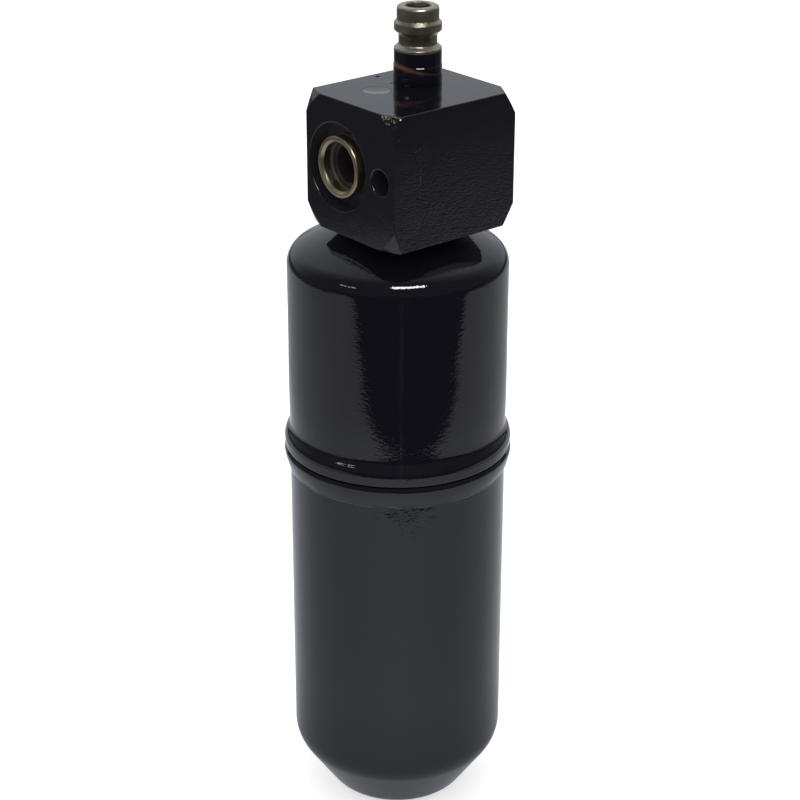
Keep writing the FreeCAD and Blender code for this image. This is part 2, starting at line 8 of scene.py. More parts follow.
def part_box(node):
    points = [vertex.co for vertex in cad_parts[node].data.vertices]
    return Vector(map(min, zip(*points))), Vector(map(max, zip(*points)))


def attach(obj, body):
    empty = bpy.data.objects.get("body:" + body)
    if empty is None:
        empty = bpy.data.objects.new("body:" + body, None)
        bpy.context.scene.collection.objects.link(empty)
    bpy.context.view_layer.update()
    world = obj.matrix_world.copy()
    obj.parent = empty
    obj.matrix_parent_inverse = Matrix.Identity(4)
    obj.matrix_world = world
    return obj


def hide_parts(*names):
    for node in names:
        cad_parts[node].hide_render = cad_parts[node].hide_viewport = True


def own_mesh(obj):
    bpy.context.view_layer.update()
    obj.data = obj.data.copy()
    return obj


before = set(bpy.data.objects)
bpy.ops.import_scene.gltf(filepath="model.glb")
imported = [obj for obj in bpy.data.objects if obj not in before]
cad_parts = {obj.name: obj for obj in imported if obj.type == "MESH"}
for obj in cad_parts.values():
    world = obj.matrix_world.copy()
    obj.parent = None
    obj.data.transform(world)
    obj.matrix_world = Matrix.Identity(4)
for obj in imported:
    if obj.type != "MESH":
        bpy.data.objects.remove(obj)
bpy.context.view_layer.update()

# Lower shell.
# The lower half of the can is a deep-drawn steel cup with a conical bottom and a small flat foot.
# It is enamelled gloss black, inside the seam as well, after the whole drier is welded.
MM = 0.001
CAN_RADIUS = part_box("lower_shell")[1].x
RIM_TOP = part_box("lower_shell")[1].z
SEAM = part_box("upper_shell")[0].z
SHELL_WALL = 1.7 * MM
FOOT_RADIUS = 18.0 * MM
FOOT_ROUND = 9.5 * MM
CONE_ANGLE = math.radians(55.4)
CORNER_ROUND = 13.8 * MM
CAN_SEGMENTS = 288
RING_STEP = 3.0 * MM
POLE = 1e-6
SHARP_ANGLE = math.radians(40)


def rounded(corners, steps=8):
    """An outline of (radius, height) points from corners, each with a third value if it is rounded."""
    points = []
    for index, corner in enumerate(corners):
        here = Vector(corner[:2])
        if len(corner) == 2:
            points.append(here)
            continue
        back = (Vector(corners[index - 1][:2]) - here).normalized()
        ahead = (Vector(corners[(index + 1) % len(corners)][:2]) - here).normalized()
        half = back.angle(ahead) / 2
        centre = here + (back + ahead).normalized() * corner[2] / math.sin(half)
        first = here + back * corner[2] / math.tan(half) - centre
        last = here + ahead * corner[2] / math.tan(half) - centre
        turn = math.atan2(first.x * last.y - first.y * last.x, first.dot(last))
        for step in range(steps + 1):
            angle = turn * step / steps
            swung = Vector((first.x * math.cos(angle) - first.y * math.sin(angle),
                            first.x * math.sin(angle) + first.y * math.cos(angle)))
            points.append(centre + swung)
    return points


def spaced(outline, step):
    """The same outline with points added along its long straight runs."""
    points = []
    for index, point in enumerate(outline):
        before = outline[index - 1]
        parts = max(1, math.ceil((point - before).length / step)) if index else 1
        points += [before.lerp(point, (part + 1) / parts) for part in range(parts)] if index else [point]
    return points


def ring_faces(mesh, lower, upper):
    """Faces between two rings, either of which may be a single point on the axis."""
    count = max(len(lower), len(upper))
    if count == 1:
        return
    for index in range(count):
        following = (index + 1) % count
        corners = [lower[index % len(lower)], lower[following % len(lower)],
                   upper[following % len(upper)], upper[index % len(upper)]]
        mesh.faces.new(list(dict.fromkeys(corners)))


def new_object(name, data):
    """An object in the scene."""
    piece = bpy.data.objects.new(name, data)
    bpy.context.scene.collection.objects.link(piece)
    return piece


def finish_mesh(name, mesh):
    """An object from a bmesh, with its faces turned outwards and its sharp edges kept."""
    bmesh.ops.recalc_face_normals(mesh, faces=mesh.faces)
    data = bpy.data.meshes.new(name)
    mesh.to_mesh(data)
    mesh.free()
    data.shade_smooth()
    data.set_sharp_from_angle(angle=SHARP_ANGLE)
    return new_object(name, data)


def outwards(angle):
    """The direction from the Z axis at an angle about it."""
    return Vector((math.cos(angle), math.sin(angle), 0))


def turned(name, outline, segments=CAN_SEGMENTS, place=Matrix(), uneven=None):
    """A piece turned about the Z axis from a closed outline and then put in its place."""
    mesh = bmesh.new()
    rings = []
    for radius, height in outline:
        count = 1 if radius < POLE else segments
        ring = []
        for index in range(count):
            angle = math.tau * index / count
            point = Vector((radius * math.cos(angle), radius * math.sin(angle), height))
            if radius < POLE:
                point = Vector((0, 0, height))
            elif uneven:
                point = uneven(point, angle)
            ring.append(mesh.verts.new(place @ point))
        rings.append(ring)
    for index, ring in enumerate(rings):
        before = rings[index - 1]
        if index or len(ring) > 1:
            ring_faces(mesh, before, ring)
    return finish_mesh(name, mesh)


WAVE_LENGTH = 24.0 * MM
WAVE_HEIGHT = 0.05 * MM


def drawn_wave(point, angle):
    """The slow waves that drawing leaves in a sheet wall."""
    wave = noise.noise(point / WAVE_LENGTH) * WAVE_HEIGHT
    return point + outwards(angle) * wave


CONE_FOOT = FOOT_RADIUS + FOOT_ROUND * math.tan(CONE_ANGLE / 2)
CONE_TOP = (CAN_RADIUS - CONE_FOOT) * math.tan(CONE_ANGLE)
INNER_FOOT = CONE_FOOT - SHELL_WALL * math.tan(CONE_ANGLE / 2)
INNER_RADIUS = CAN_RADIUS - SHELL_WALL
INNER_CORNER = SHELL_WALL + (INNER_RADIUS - INNER_FOOT) * math.tan(CONE_ANGLE)
lower_outline = rounded([
    (0, 0),
    (CONE_FOOT, 0, FOOT_ROUND),
    (CAN_RADIUS, CONE_TOP, CORNER_ROUND),
    (CAN_RADIUS, RIM_TOP),
    (INNER_RADIUS, RIM_TOP),
    (INNER_RADIUS, INNER_CORNER, CORNER_ROUND - SHELL_WALL),
    (INNER_FOOT, SHELL_WALL, FOOT_ROUND - SHELL_WALL),
    (0, SHELL_WALL),
], steps=20)
lower_shell = turned("lower_can", spaced(lower_outline, RING_STEP), uneven=drawn_wave)
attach(lower_shell, "drier")
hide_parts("lower_shell")


# The enamel is sprayed on thick. It has orange peel, a few dust nibs and a slightly uneven gloss.
PAINT_COLOR = (0.0057, 0.0049, 0.0086, 1)
PAINT_ROUGHNESS = 0.04
CAN_GLOSS = (0.01, 0.04)
PEEL_SIZE = 0.9 * MM
PEEL_SLOPE = 0.040
PEEL_STRETCH = 1.6
BROAD_SIZE = 9.0 * MM
BROAD_SLOPE = 0.006
NIB_SPACE = 7.0 * MM
NIB_RADIUS = 0.16 * MM
NIB_HEIGHT = 0.05 * MM
X_AXIS, Y_AXIS, UP = (1, 0, 0), (0, 1, 0), (0, 0, 1)


class Value:
    """What a shader works out at a point. It takes +, -, *, /, <, > and abs, with numbers and other values."""

    def __init__(self, socket):
        self.socket, self.tree = socket, socket.id_data

    def __add__(self, other):
        return calculate("ADD", self, other)

    def __sub__(self, other):
        return calculate("SUBTRACT", self, other)

    def __rsub__(self, other):
        return calculate("SUBTRACT", other, self)

    def __mul__(self, other):
        return calculate("MULTIPLY", self, other)

    def __truediv__(self, other):
        return calculate("DIVIDE", self, other)

    def __rtruediv__(self, other):
        return calculate("DIVIDE", other, self)

    def __lt__(self, other):
        return calculate("LESS_THAN", self, other)

    def __gt__(self, other):
        return calculate("GREATER_THAN", self, other)

    def __abs__(self):
        return calculate("ABSOLUTE", self)


def feed(socket, value):
    """Links a socket to a worked-out value, or sets it to a plain one."""
    if isinstance(value, Value):
        value.tree.links.new(value.socket, socket)
    else:
        socket.default_value = value


def calculate(operation, *values):
    """A Math node from numbers and values, at least one of which is a value."""
    node = next(value.tree for value in values if isinstance(value, Value)).nodes.new("ShaderNodeMath")
    node.operation = operation
    for socket, value in zip(node.inputs, values):
        feed(socket, value)
    return Value(node.outputs[0])


def limited(value):
    """The value, kept from 0 to 1."""
    return calculate("MINIMUM", calculate("MAXIMUM", value, 0.0), 1.0)


def between(mask, start, end):
    """A value that runs from start to end while the mask runs from 0 to 1."""
    return limited(mask) * (end - start) + start


def from_vector(operation, vector, other=(0, 0, 0)):
    """A number from a vector, such as its length, or its reach along another."""
    node = vector.tree.nodes.new("ShaderNodeVectorMath")
    node.operation = operation
    feed(node.inputs[0], vector)
    feed(node.inputs[1], other)
    return Value(node.outputs["Value"])


def own_place(tree, scale=None):
    """The piece's own coordinates in metres, scaled where a scale is given. A scale of 0 drops an axis."""
    place = Value(tree.nodes.new("ShaderNodeTexCoord").outputs["Object"])
    if scale is None:
        return place
    stretched = tree.nodes.new("ShaderNodeMapping")
    feed(stretched.inputs["Vector"], place)
    feed(stretched.inputs["Scale"], scale)
    return Value(stretched.outputs["Vector"])


def place_along(tree, direction):
    """How far the piece's own coordinates lie along a direction, in metres."""
    return from_vector("DOT_PRODUCT", own_place(tree), direction)


def noise_at(tree, size, detail=2.0, scale=None):
    """A noise value from 0 to 1 whose waves have a size in metres."""
    node = tree.nodes.new("ShaderNodeTexNoise")
    feed(node.inputs["Scale"], 1 / size)
    feed(node.inputs["Detail"], detail)
    feed(node.inputs["Vector"], own_place(tree, scale))
    return Value(node.outputs[0])


def mix_colors(mask, first, second):
    """A colour between two, by a mask."""
    mix = mask.tree.nodes.new("ShaderNodeMix")
    mix.data_type = "RGBA"
    mix.clamp_factor = True
    for index, value in ((0, mask), (6, first), (7, second)):
        feed(mix.inputs[index], value)
    return Value(mix.outputs[2])


def new_group(name, inputs, outputs):
    """A shader node group with named numbers. It comes with its input values and output sockets."""
    group = bpy.data.node_groups.new(name, "ShaderNodeTree")
    for label, value in inputs.items():
        group.interface.new_socket(label, in_out="INPUT", socket_type="NodeSocketFloat").default_value = value
    for label in outputs:
        group.interface.new_socket(label, in_out="OUTPUT", socket_type="NodeSocketFloat")
    inside = group.nodes.new("NodeGroupInput")
    return group, [Value(inside.outputs[label]) for label in inputs], group.nodes.new("NodeGroupOutput").inputs


def results_of(tree, group, **inputs):
    """The group's results in a material, by name. Underscores stand for spaces in its inputs' names."""
    node = tree.nodes.new("ShaderNodeGroup")
    node.node_tree = group
    for label, value in inputs.items():
        feed(node.inputs[label.replace("_", " ")], value)
    return {output.name: Value(output) for output in node.outputs}


def new_material(name, color=PAINT_COLOR, roughness=PAINT_ROUGHNESS, metallic=0.0):
    """A material with its tree and its Principled shader's inputs."""
    material = bpy.data.materials.new(name)
    material.use_nodes = True
    inputs = material.node_tree.nodes["Principled BSDF"].inputs
    for label, value in (("Base Color", color), ("Roughness", roughness), ("Metallic", metallic)):
        inputs[label].default_value = value
    return material, material.node_tree, inputs


def add_bump(inputs, height):
    """Bump from a height in metres."""
    bump = height.tree.nodes.new("ShaderNodeBump")
    bump.inputs["Strength"].default_value = 1.0
    bump.inputs["Distance"].default_value = 1.0
    feed(bump.inputs["Height"], height)
    feed(inputs["Normal"], Value(bump.outputs["Normal"]))


# Orange peel: a fine wave, a broad one and dust nibs, together as a height in metres.
orange_peel, (fine_size, fine_slope, broad_size, broad_slope), results = new_group(
    "Orange peel",
    {"Size": PEEL_SIZE, "Slope": PEEL_SLOPE, "Broad size": BROAD_SIZE, "Broad slope": BROAD_SLOPE},
    ("Height", "Gloss"),
)
fine = noise_at(orange_peel, fine_size, scale=(1 / PEEL_STRETCH, 1 / PEEL_STRETCH, 1))
broad = noise_at(orange_peel, broad_size)
dust = orange_peel.nodes.new("ShaderNodeTexVoronoi")
feed(dust.inputs["Scale"], 1 / NIB_SPACE)
feed(dust.inputs["Vector"], own_place(orange_peel))
nib = limited(1 - Value(dust.outputs["Distance"]) * (NIB_SPACE / NIB_RADIUS))
feed(results["Height"], fine * fine_size * fine_slope + broad * broad_size * broad_slope
     + calculate("SQRT", nib) * NIB_HEIGHT)
feed(results["Gloss"], broad)

# Under the front of the weld the enamel has sagged into short level runs.
SAG_FRONT = (-0.588, -0.809, 0)
SAG_WIDTH = 2.2 * MM
SAG_TOP = 130.6 * MM
SAG_REACH = 7.5 * MM
SAG_SIZE = 1.3 * MM
SAG_LEVEL = 0.28
SAG_SPARSE = 0.58
can_enamel, tree, inputs = new_material("can_enamel")
peel = results_of(tree, orange_peel)
up = place_along(tree, UP)
to_front = limited((place_along(tree, SAG_FRONT) - CAN_RADIUS) / SAG_WIDTH + 1)
under_weld = limited((up - SAG_TOP) / SAG_REACH + 1) * (up < SAG_TOP)
runs = noise_at(tree, SAG_SIZE, detail=3.0, scale=(SAG_LEVEL, SAG_LEVEL, 1))
add_bump(inputs, peel["Height"] + limited(runs - SAG_SPARSE) * to_front * under_weld * SAG_SIZE)
feed(inputs["Roughness"], between(peel["Gloss"], *CAN_GLOSS))
lower_shell.data.materials.append(can_enamel)


# Upper shell.
# The upper half of the can is the same sheet, drawn with a low dome that is pierced for the block's
# spigot. Its mouth is expanded over the lower shell and ends in a trimmed lip.
SHOULDER = 206.3 * MM
SHOULDER_ROUND = 7.0 * MM
CROWN_RADIUS = 70.0 * MM
SPIGOT_RADIUS = 14.5 * MM
LIP_HEIGHT = 3.9 * MM
LIP_STEP = 0.12 * MM
LIP_ROUND = 1.3 * MM
LIP_TUCK = 0.1 * MM
LAP_GAP = 0.05 * MM
BELL_TOP = RIM_TOP - 0.3 * MM
BELL_BEND = 5.1 * MM
BELL_STEP = LAP_GAP + SHELL_WALL
BELL_RADIUS = CAN_RADIUS + BELL_STEP
LIP_RADIUS = BELL_RADIUS + LIP_STEP
ARC_STEPS = 16


def arc(centre, radius, start, end, steps=ARC_STEPS):
    """Points of an arc about a centre, its angles in radians from the radius direction."""
    angles = [start + (end - start) * step / steps for step in range(steps + 1)]
    return [Vector((centre[0] + radius * math.cos(a), centre[1] + radius * math.sin(a))) for a in angles]


bend_turn = math.acos(1 - BELL_STEP / (2 * BELL_BEND))
flare_top = BELL_TOP + 2 * BELL_BEND * math.sin(bend_turn)
crown_turn = math.acos((CAN_RADIUS - SHOULDER_ROUND) / (CROWN_RADIUS - SHOULDER_ROUND))
crown_centre = SHOULDER - (CROWN_RADIUS - SHOULDER_ROUND) * math.sin(crown_turn)
neck_turn = math.acos((SPIGOT_RADIUS + LAP_GAP) / CROWN_RADIUS)
inner_crown = CROWN_RADIUS - SHELL_WALL
inner_neck_turn = math.acos((SPIGOT_RADIUS + LAP_GAP) / inner_crown)
upper_outline = [Vector((CAN_RADIUS + LAP_GAP, SEAM))]
upper_outline += arc((LIP_RADIUS - LIP_TUCK - LIP_ROUND, SEAM + LIP_ROUND), LIP_ROUND, -math.pi / 2, 0, steps=6)
upper_outline += [Vector((LIP_RADIUS, SEAM + LIP_HEIGHT - LIP_STEP)), Vector((BELL_RADIUS, SEAM + LIP_HEIGHT))]
upper_outline += arc((BELL_RADIUS - BELL_BEND, BELL_TOP), BELL_BEND, 0, bend_turn)
upper_outline += arc((CAN_RADIUS + BELL_BEND, flare_top), BELL_BEND, math.pi + bend_turn, math.pi)[1:]
upper_outline += arc((CAN_RADIUS - SHOULDER_ROUND, SHOULDER), SHOULDER_ROUND, 0, crown_turn)
upper_outline += arc((0, crown_centre), CROWN_RADIUS, crown_turn, neck_turn)[1:]
upper_outline += arc((0, crown_centre), inner_crown, inner_neck_turn, crown_turn)
upper_outline += arc((CAN_RADIUS - SHOULDER_ROUND, SHOULDER), SHOULDER_ROUND - SHELL_WALL, crown_turn, 0)[1:]
upper_outline += arc((CAN_RADIUS + BELL_BEND, flare_top), BELL_BEND + SHELL_WALL, math.pi, math.pi + bend_turn)
upper_outline += arc((BELL_RADIUS - BELL_BEND, BELL_TOP), BELL_BEND - SHELL_WALL, bend_turn, 0)[1:]

LIP_RIPPLE = 0.10 * MM
RIPPLE_LENGTH = 1.8 * MM
PINCH = 0.055 * MM
PINCH_REACH = 7.0 * MM
SWELL = 0.10 * MM
SWELL_PLACE = 13.0 * MM
SWELL_REACH = 17.0 * MM


def pressed_lip(point, angle):
    """The drawing's waves, the pinch and slight swell above the bell, and the lip's trimmed ripple."""
    near_lip = max(0.0, 1 - abs(point.z - SEAM - LIP_HEIGHT / 2) / LIP_HEIGHT)
    ripple = noise.noise(point / RIPPLE_LENGTH) * LIP_RIPPLE * near_lip
    above = min(max((point.z - flare_top) / PINCH_REACH, -1.0), 1.0)
    beyond = min(max((point.z - flare_top - SWELL_PLACE) / SWELL_REACH, -1.0), 1.0)
    pressed = SWELL * (1 - beyond * beyond) ** 2 - PINCH * (1 - above * above) ** 2
    return drawn_wave(point, angle) + outwards(angle) * (min(ripple, 0) + pressed)


upper_shell = turned("upper_can", spaced(upper_outline, RING_STEP / 3), uneven=pressed_lip)

# A drawing line runs down the front of the upper shell. It is a hair rougher than the paint beside it.
# The camera looks along VIEW_HEADING.
VIEW_HEADING = Vector((0.6419, 0.7668, 0))
DRAW_LINE_SIDE = (0.7880, -0.6157, 0)
DRAW_LINE_WIDTH = 0.9 * MM
DRAW_LINE_BREAKS = 12.0 * MM
DRAW_LINE_ROUGH = 0.15
DRAW_LINE_COLOR = (0.0125, 0.0115, 0.0165, 1)
drawn_enamel, tree, inputs = new_material("drawn_enamel")
peel = results_of(tree, orange_peel)
add_bump(inputs, peel["Height"])
on_line = limited(1 - abs(place_along(tree, DRAW_LINE_SIDE)) / DRAW_LINE_WIDTH)
on_wall = (place_along(tree, UP) < SHOULDER) * (place_along(tree, VIEW_HEADING) < 0.0)
faint = on_line * on_wall * noise_at(tree, DRAW_LINE_BREAKS)
feed(inputs["Roughness"], faint * DRAW_LINE_ROUGH + between(peel["Gloss"], *CAN_GLOSS))
feed(inputs["Base Color"], mix_colors(faint, PAINT_COLOR, DRAW_LINE_COLOR))
upper_shell.data.materials.append(drawn_enamel)
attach(upper_shell, "drier")
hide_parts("upper_shell")


# Girth weld.
# One fillet bead round the seam joins the lip to the lower shell. It was laid by machine, so it is even,
# but its toe wanders a little and its face carries faint ripples.
WELD_LENGTH = 7.9 * MM
WELD_CREST = 0.75 * MM
WELD_HEIGHT = 1.85 * MM
WELD_CROWN = 24.0 * MM
WELD_INSET = 0.35 * MM
CREST_WANDER = 0.25 * MM
CREST_LENGTH = 2.0 * MM
TOE_STEP = 0.25 * MM
TOE_WANDER = 0.45 * MM
TOE_LENGTH = 6.0 * MM
FACE_RIPPLE = 0.05 * MM
FACE_LENGTH = 3.0 * MM
CREST_BAND = (0.02 * MM, 1.6 * WELD_CREST)
toe = Vector((CAN_RADIUS, SEAM - WELD_LENGTH))
crest = Vector((CAN_RADIUS + WELD_HEIGHT, SEAM - WELD_CREST))
chord = crest - toe
bead_centre = (toe + crest) / 2 + Vector((-chord.y, chord.x)).normalized() * math.sqrt(
    WELD_CROWN ** 2 - (chord.length / 2) ** 2)
bead_start = math.atan2(toe.y - bead_centre.y, toe.x - bead_centre.x)
bead_end = math.atan2(crest.y - bead_centre.y, crest.x - bead_centre.x)
bead_face = arc(bead_centre, WELD_CROWN, bead_start, bead_end)[:-1]
weld_outline = [toe] + [point + Vector((TOE_STEP, 0)) for point in bead_face] + [crest]
weld_outline += [crest + Vector((-WELD_INSET, WELD_CREST)), Vector((CAN_RADIUS, SEAM))]


def weld_bead(point, angle):
    """The bead's wandering toe and crest and its rippled face."""
    down = (SEAM - point.z) / WELD_LENGTH
    around = outwards(angle)
    wander = noise.noise(around * CAN_RADIUS / TOE_LENGTH) * TOE_WANDER * down
    if CREST_BAND[0] < SEAM - point.z < CREST_BAND[1]:
        wander += noise.noise(around * CAN_RADIUS / CREST_LENGTH) * CREST_WANDER
    out = Vector((point.x, point.y, 0)).length - CAN_RADIUS
    ripple = noise.noise(point / FACE_LENGTH) * FACE_RIPPLE * min(1.0, max(out, 0) / MM)
    return point + around * min(ripple, 0) + Vector((0, 0, wander))


girth_weld = turned("girth_bead", weld_outline, uneven=weld_bead)
TOE_ROUGH = 0.35 * MM
TOE_GRAIN = 0.45 * MM
TOE_ROUGHNESS = (0.02, 0.25)
TOE_HIGHLIGHT_PATCH = 5.0 * MM
TOE_CONTRAST = 2.2
TOE_HIGHLIGHT_GREY = (0.15, 0.156, 0.165, 1)
weld_enamel, tree, inputs = new_material("weld_enamel")
from_axis = from_vector("LENGTH", own_place(tree, (1, 1, 0)))
below_crest = place_along(tree, UP) < SEAM - WELD_LENGTH / 2
at_toe = limited((CAN_RADIUS + TOE_STEP - from_axis) / TOE_ROUGH + 1) * below_crest
add_bump(inputs, results_of(tree, orange_peel)["Height"] + noise_at(tree, TOE_GRAIN) * at_toe * TOE_GRAIN)
feed(inputs["Roughness"], between(at_toe, *TOE_ROUGHNESS))
# Painted highlight: the toe is coloured a light grey in patches, standing in for the lamps' glints along it.
toe_highlight = limited(at_toe * TOE_CONTRAST + 1 - TOE_CONTRAST)
patches = limited((noise_at(tree, TOE_HIGHLIGHT_PATCH) - 0.5) * TOE_CONTRAST + 0.5)
feed(inputs["Base Color"], mix_colors(toe_highlight * patches, PAINT_COLOR, TOE_HIGHLIGHT_GREY))
girth_weld.data.materials.append(weld_enamel)
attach(girth_weld, "drier")
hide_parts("girth_weld")


# Head block.
# A length of square steel bar, both ends turned to a conical bevel about the bar's own axis, with a
# counterbored port and a tapped hole in each end face and two drillings from the top.
block_low, block_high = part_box("head_block")
BLOCK_WIDTH = 45.8 * MM
BLOCK_HALF = BLOCK_WIDTH / 2
BLOCK_LENGTH = block_high.x - block_low.x
BLOCK_TOP = block_high.z
BLOCK_MIDDLE = BLOCK_TOP - BLOCK_HALF
BAR_AXIS = -6.4 * MM
END_CIRCLE = 27.4 * MM
BEVEL_DEPTHS = (3.2 * MM, 4.8 * MM)
BAR_EDGE = 0.5 * MM
END_EDGE = 0.35 * MM
SIDE_STEPS = 40
EDGE_STEPS = 6
HALF_DIAGONAL = BLOCK_HALF * math.sqrt(2)
EDGE_SHARE = 0.45
FACE_SHARES = (0.35, 0.7)


def bar_section():
    """The bar's square section with rounded edges, as (across, up) points round its axis."""
    points = []
    for quarter in range(4):
        turn = Matrix.Rotation(quarter * math.pi / 2, 2)
        for step in range(SIDE_STEPS):
            along = (step / SIDE_STEPS * 2 - 1) * (BLOCK_HALF - BAR_EDGE)
            points.append(turn @ Vector((BLOCK_HALF, along)))
        for step in range(EDGE_STEPS):
            angle = math.pi / 2 * step / EDGE_STEPS
            corner = BLOCK_HALF - BAR_EDGE
            points.append(turn @ Vector((corner + BAR_EDGE * math.cos(angle), corner + BAR_EDGE * math.sin(angle))))
    return points


def end_stations(reach, depth):
    """(radius, distance from the end face) points over one end, at a place where the bar is reach wide."""
    slope = depth / (HALF_DIAGONAL - END_CIRCLE)
    plain = rounded([(0, 0), (reach, 0, END_EDGE), (reach, BLOCK_HALF)], steps=2 * EDGE_STEPS + 1)[1:-1]
    beyond = max(reach - END_CIRCLE, 0)
    fade = min(beyond / MM, 1)
    if not fade:
        return plain
    edge = min(END_EDGE, beyond * EDGE_SHARE)
    bevelled = rounded([
        (0, 0),
        (END_CIRCLE, 0, edge),
        (reach, beyond * slope, edge),
        (reach, BLOCK_HALF),
    ], steps=EDGE_STEPS)[1:-1]
    return [before.lerp(after, fade) for before, after in zip(plain, bevelled)]


def bar_end(mesh, section, side, depth):
    """The rings of one end of the bar, from the middle of its face to the start of its flat sides."""
    columns = [end_stations(point.length, depth) for point in section]
    face = side * BLOCK_LENGTH / 2
    rings = [[mesh.verts.new((face, BAR_AXIS, BLOCK_MIDDLE))]]
    for share in FACE_SHARES:
        rings.append([mesh.verts.new((face, BAR_AXIS + p.x * share, BLOCK_MIDDLE + p.y * share)) for p in section])
    for station in range(len(columns[0])):
        ring = []
        for point, column in zip(section, columns):
            radius, distance = column[station]
            out = point.normalized() * radius
            ring.append(mesh.verts.new((face - side * distance, BAR_AXIS + out.x, BLOCK_MIDDLE + out.y)))
        rings.append(ring)
    return rings


mesh = bmesh.new()
section = bar_section()
inlet_rings = bar_end(mesh, section, -1, BEVEL_DEPTHS[0])
outlet_rings = bar_end(mesh, section, 1, BEVEL_DEPTHS[1])
rings = inlet_rings + outlet_rings[::-1]
for before, ring in zip(rings, rings[1:]):
    ring_faces(mesh, before, ring)
head_block = finish_mesh("ported_block", mesh)

# Drillings. Each cutter is a turned shape. The port, stud and inlet cutters' mouths flare, so that their drilled
# edges come out rounded.
COUNTERBORE = 14.75 * MM
COUNTERBORE_DEPTH = 6.0 * MM
SLEEVE_RADIUS = 10.4 * MM
SLEEVE_SEAT = 6.5 * MM
PASSAGE = 6.5 * MM
PASSAGE_DEPTHS = (19.0 * MM, 29.0 * MM)
BRAZE_GAP = 0.05 * MM
MOUTH_ROUND = 0.5 * MM
STUD_OFFSET = -21.7 * MM
STUD_CORE = 4.25 * MM
STUD_MOUTH = 4.9 * MM
STUD_DEPTH = 16.0 * MM
DRILL_POINT = 2.55 * MM
PLUG_PLACE = -9.2 * MM
PLUG_RADIUS = 4.75 * MM
PLUG_SEAT = 1.8 * MM
PLUG_MOUTH = 0.15 * MM
INLET_DRILL = 3.2 * MM
PORT_PLACE = 8.4 * MM
PORT_DRILL = 2.0 * MM
STUB_SPIGOT = 6.0 * MM
STUB_DEPTH = 7.0 * MM
TUBE_RADIUS = 4.5 * MM
TUBE_BORE = 3.7 * MM
TUBE_SEAT = 12.0 * MM
SPIGOT_LENGTH = 8.0 * MM
SPIGOT_EDGE = 0.8 * MM
SPIGOT_OVERLAP = 1.0 * MM
CUT_CLEAR = 2.0 * MM
SPIGOT_BOTTOM = BLOCK_TOP - BLOCK_WIDTH - SPIGOT_LENGTH


def facing(x, y, z, axis):
    """A place whose turned depth, the outline's +Z, runs along the axis given."""
    turn = Vector(UP).rotation_difference(Vector(axis)).to_matrix().to_4x4()
    return Matrix.Translation((x, y, z)) @ turn


def mouth(radius, edge):
    """The start of a cutter's outline: past the surface, then round the drilled edge."""
    flare = arc((radius + edge, edge), edge, -math.pi / 2, -math.pi, steps=4)
    return [Vector((0, -CUT_CLEAR)), Vector((radius + edge, -CUT_CLEAR))] + flare


def evaluated_mesh(piece):
    """A piece's mesh as its modifiers leave it."""
    bpy.context.view_layer.update()
    return bpy.data.meshes.new_from_object(piece.evaluated_get(bpy.context.evaluated_depsgraph_get()))


def cut(piece, name, outline, place, segments=96, operation="DIFFERENCE"):
    """A turned cutter, taken out of a piece or joined to it."""
    cutter = turned(name, outline, segments=segments, place=place)
    modifier = piece.modifiers.new(name, "BOOLEAN")
    modifier.operation = operation
    modifier.solver = "EXACT"
    modifier.object = cutter
    result = evaluated_mesh(piece)
    piece.modifiers.remove(modifier)
    piece.data = result
    bpy.data.objects.remove(cutter)


def outline_of(*points):
    """An outline from points with sharp corners."""
    return [Vector(point) for point in points]


cut(head_block, "spigot", rounded([
    (0, -SPIGOT_OVERLAP),
    (SPIGOT_RADIUS, -SPIGOT_OVERLAP),
    (SPIGOT_RADIUS, SPIGOT_LENGTH, SPIGOT_EDGE),
    (0, SPIGOT_LENGTH),
], steps=4), facing(0, 0, SPIGOT_BOTTOM + SPIGOT_LENGTH, (0, 0, -1)), operation="UNION")
for side, passage in zip((-1, 1), PASSAGE_DEPTHS):
    face = side * BLOCK_LENGTH / 2
    cut(head_block, "port_bore", mouth(COUNTERBORE, MOUTH_ROUND) + outline_of(
        (COUNTERBORE, COUNTERBORE_DEPTH),
        (SLEEVE_RADIUS + BRAZE_GAP, COUNTERBORE_DEPTH),
        (SLEEVE_RADIUS + BRAZE_GAP, COUNTERBORE_DEPTH + SLEEVE_SEAT),
        (PASSAGE, COUNTERBORE_DEPTH + SLEEVE_SEAT),
        (PASSAGE, passage),
        (0, passage),
    ), facing(face, 0, BLOCK_MIDDLE, (-side, 0, 0)), segments=144)
    cut(head_block, "stud_bore", mouth(STUD_CORE, STUD_MOUTH - STUD_CORE) + outline_of(
        (STUD_CORE, STUD_DEPTH),
        (0, STUD_DEPTH + DRILL_POINT),
    ), facing(face, STUD_OFFSET, BLOCK_MIDDLE, (-side, 0, 0)))
cut(head_block, "inlet_drilling", mouth(PLUG_RADIUS, PLUG_MOUTH) + outline_of(
    (PLUG_RADIUS, PLUG_SEAT),
    (INLET_DRILL, PLUG_SEAT),
    (INLET_DRILL, BLOCK_WIDTH + SPIGOT_LENGTH + CUT_CLEAR),
    (0, BLOCK_WIDTH + SPIGOT_LENGTH + CUT_CLEAR),
), facing(PLUG_PLACE, 0, BLOCK_TOP, (0, 0, -1)))
cut(head_block, "port_drilling", outline_of(
    (0, -CUT_CLEAR),
    (STUB_SPIGOT + BRAZE_GAP, -CUT_CLEAR),
    (STUB_SPIGOT + BRAZE_GAP, STUB_DEPTH),
    (PORT_DRILL, STUB_DEPTH),
    (PORT_DRILL, BLOCK_HALF),
    (0, BLOCK_HALF),
), facing(PORT_PLACE, 0, BLOCK_TOP, (0, 0, -1)))
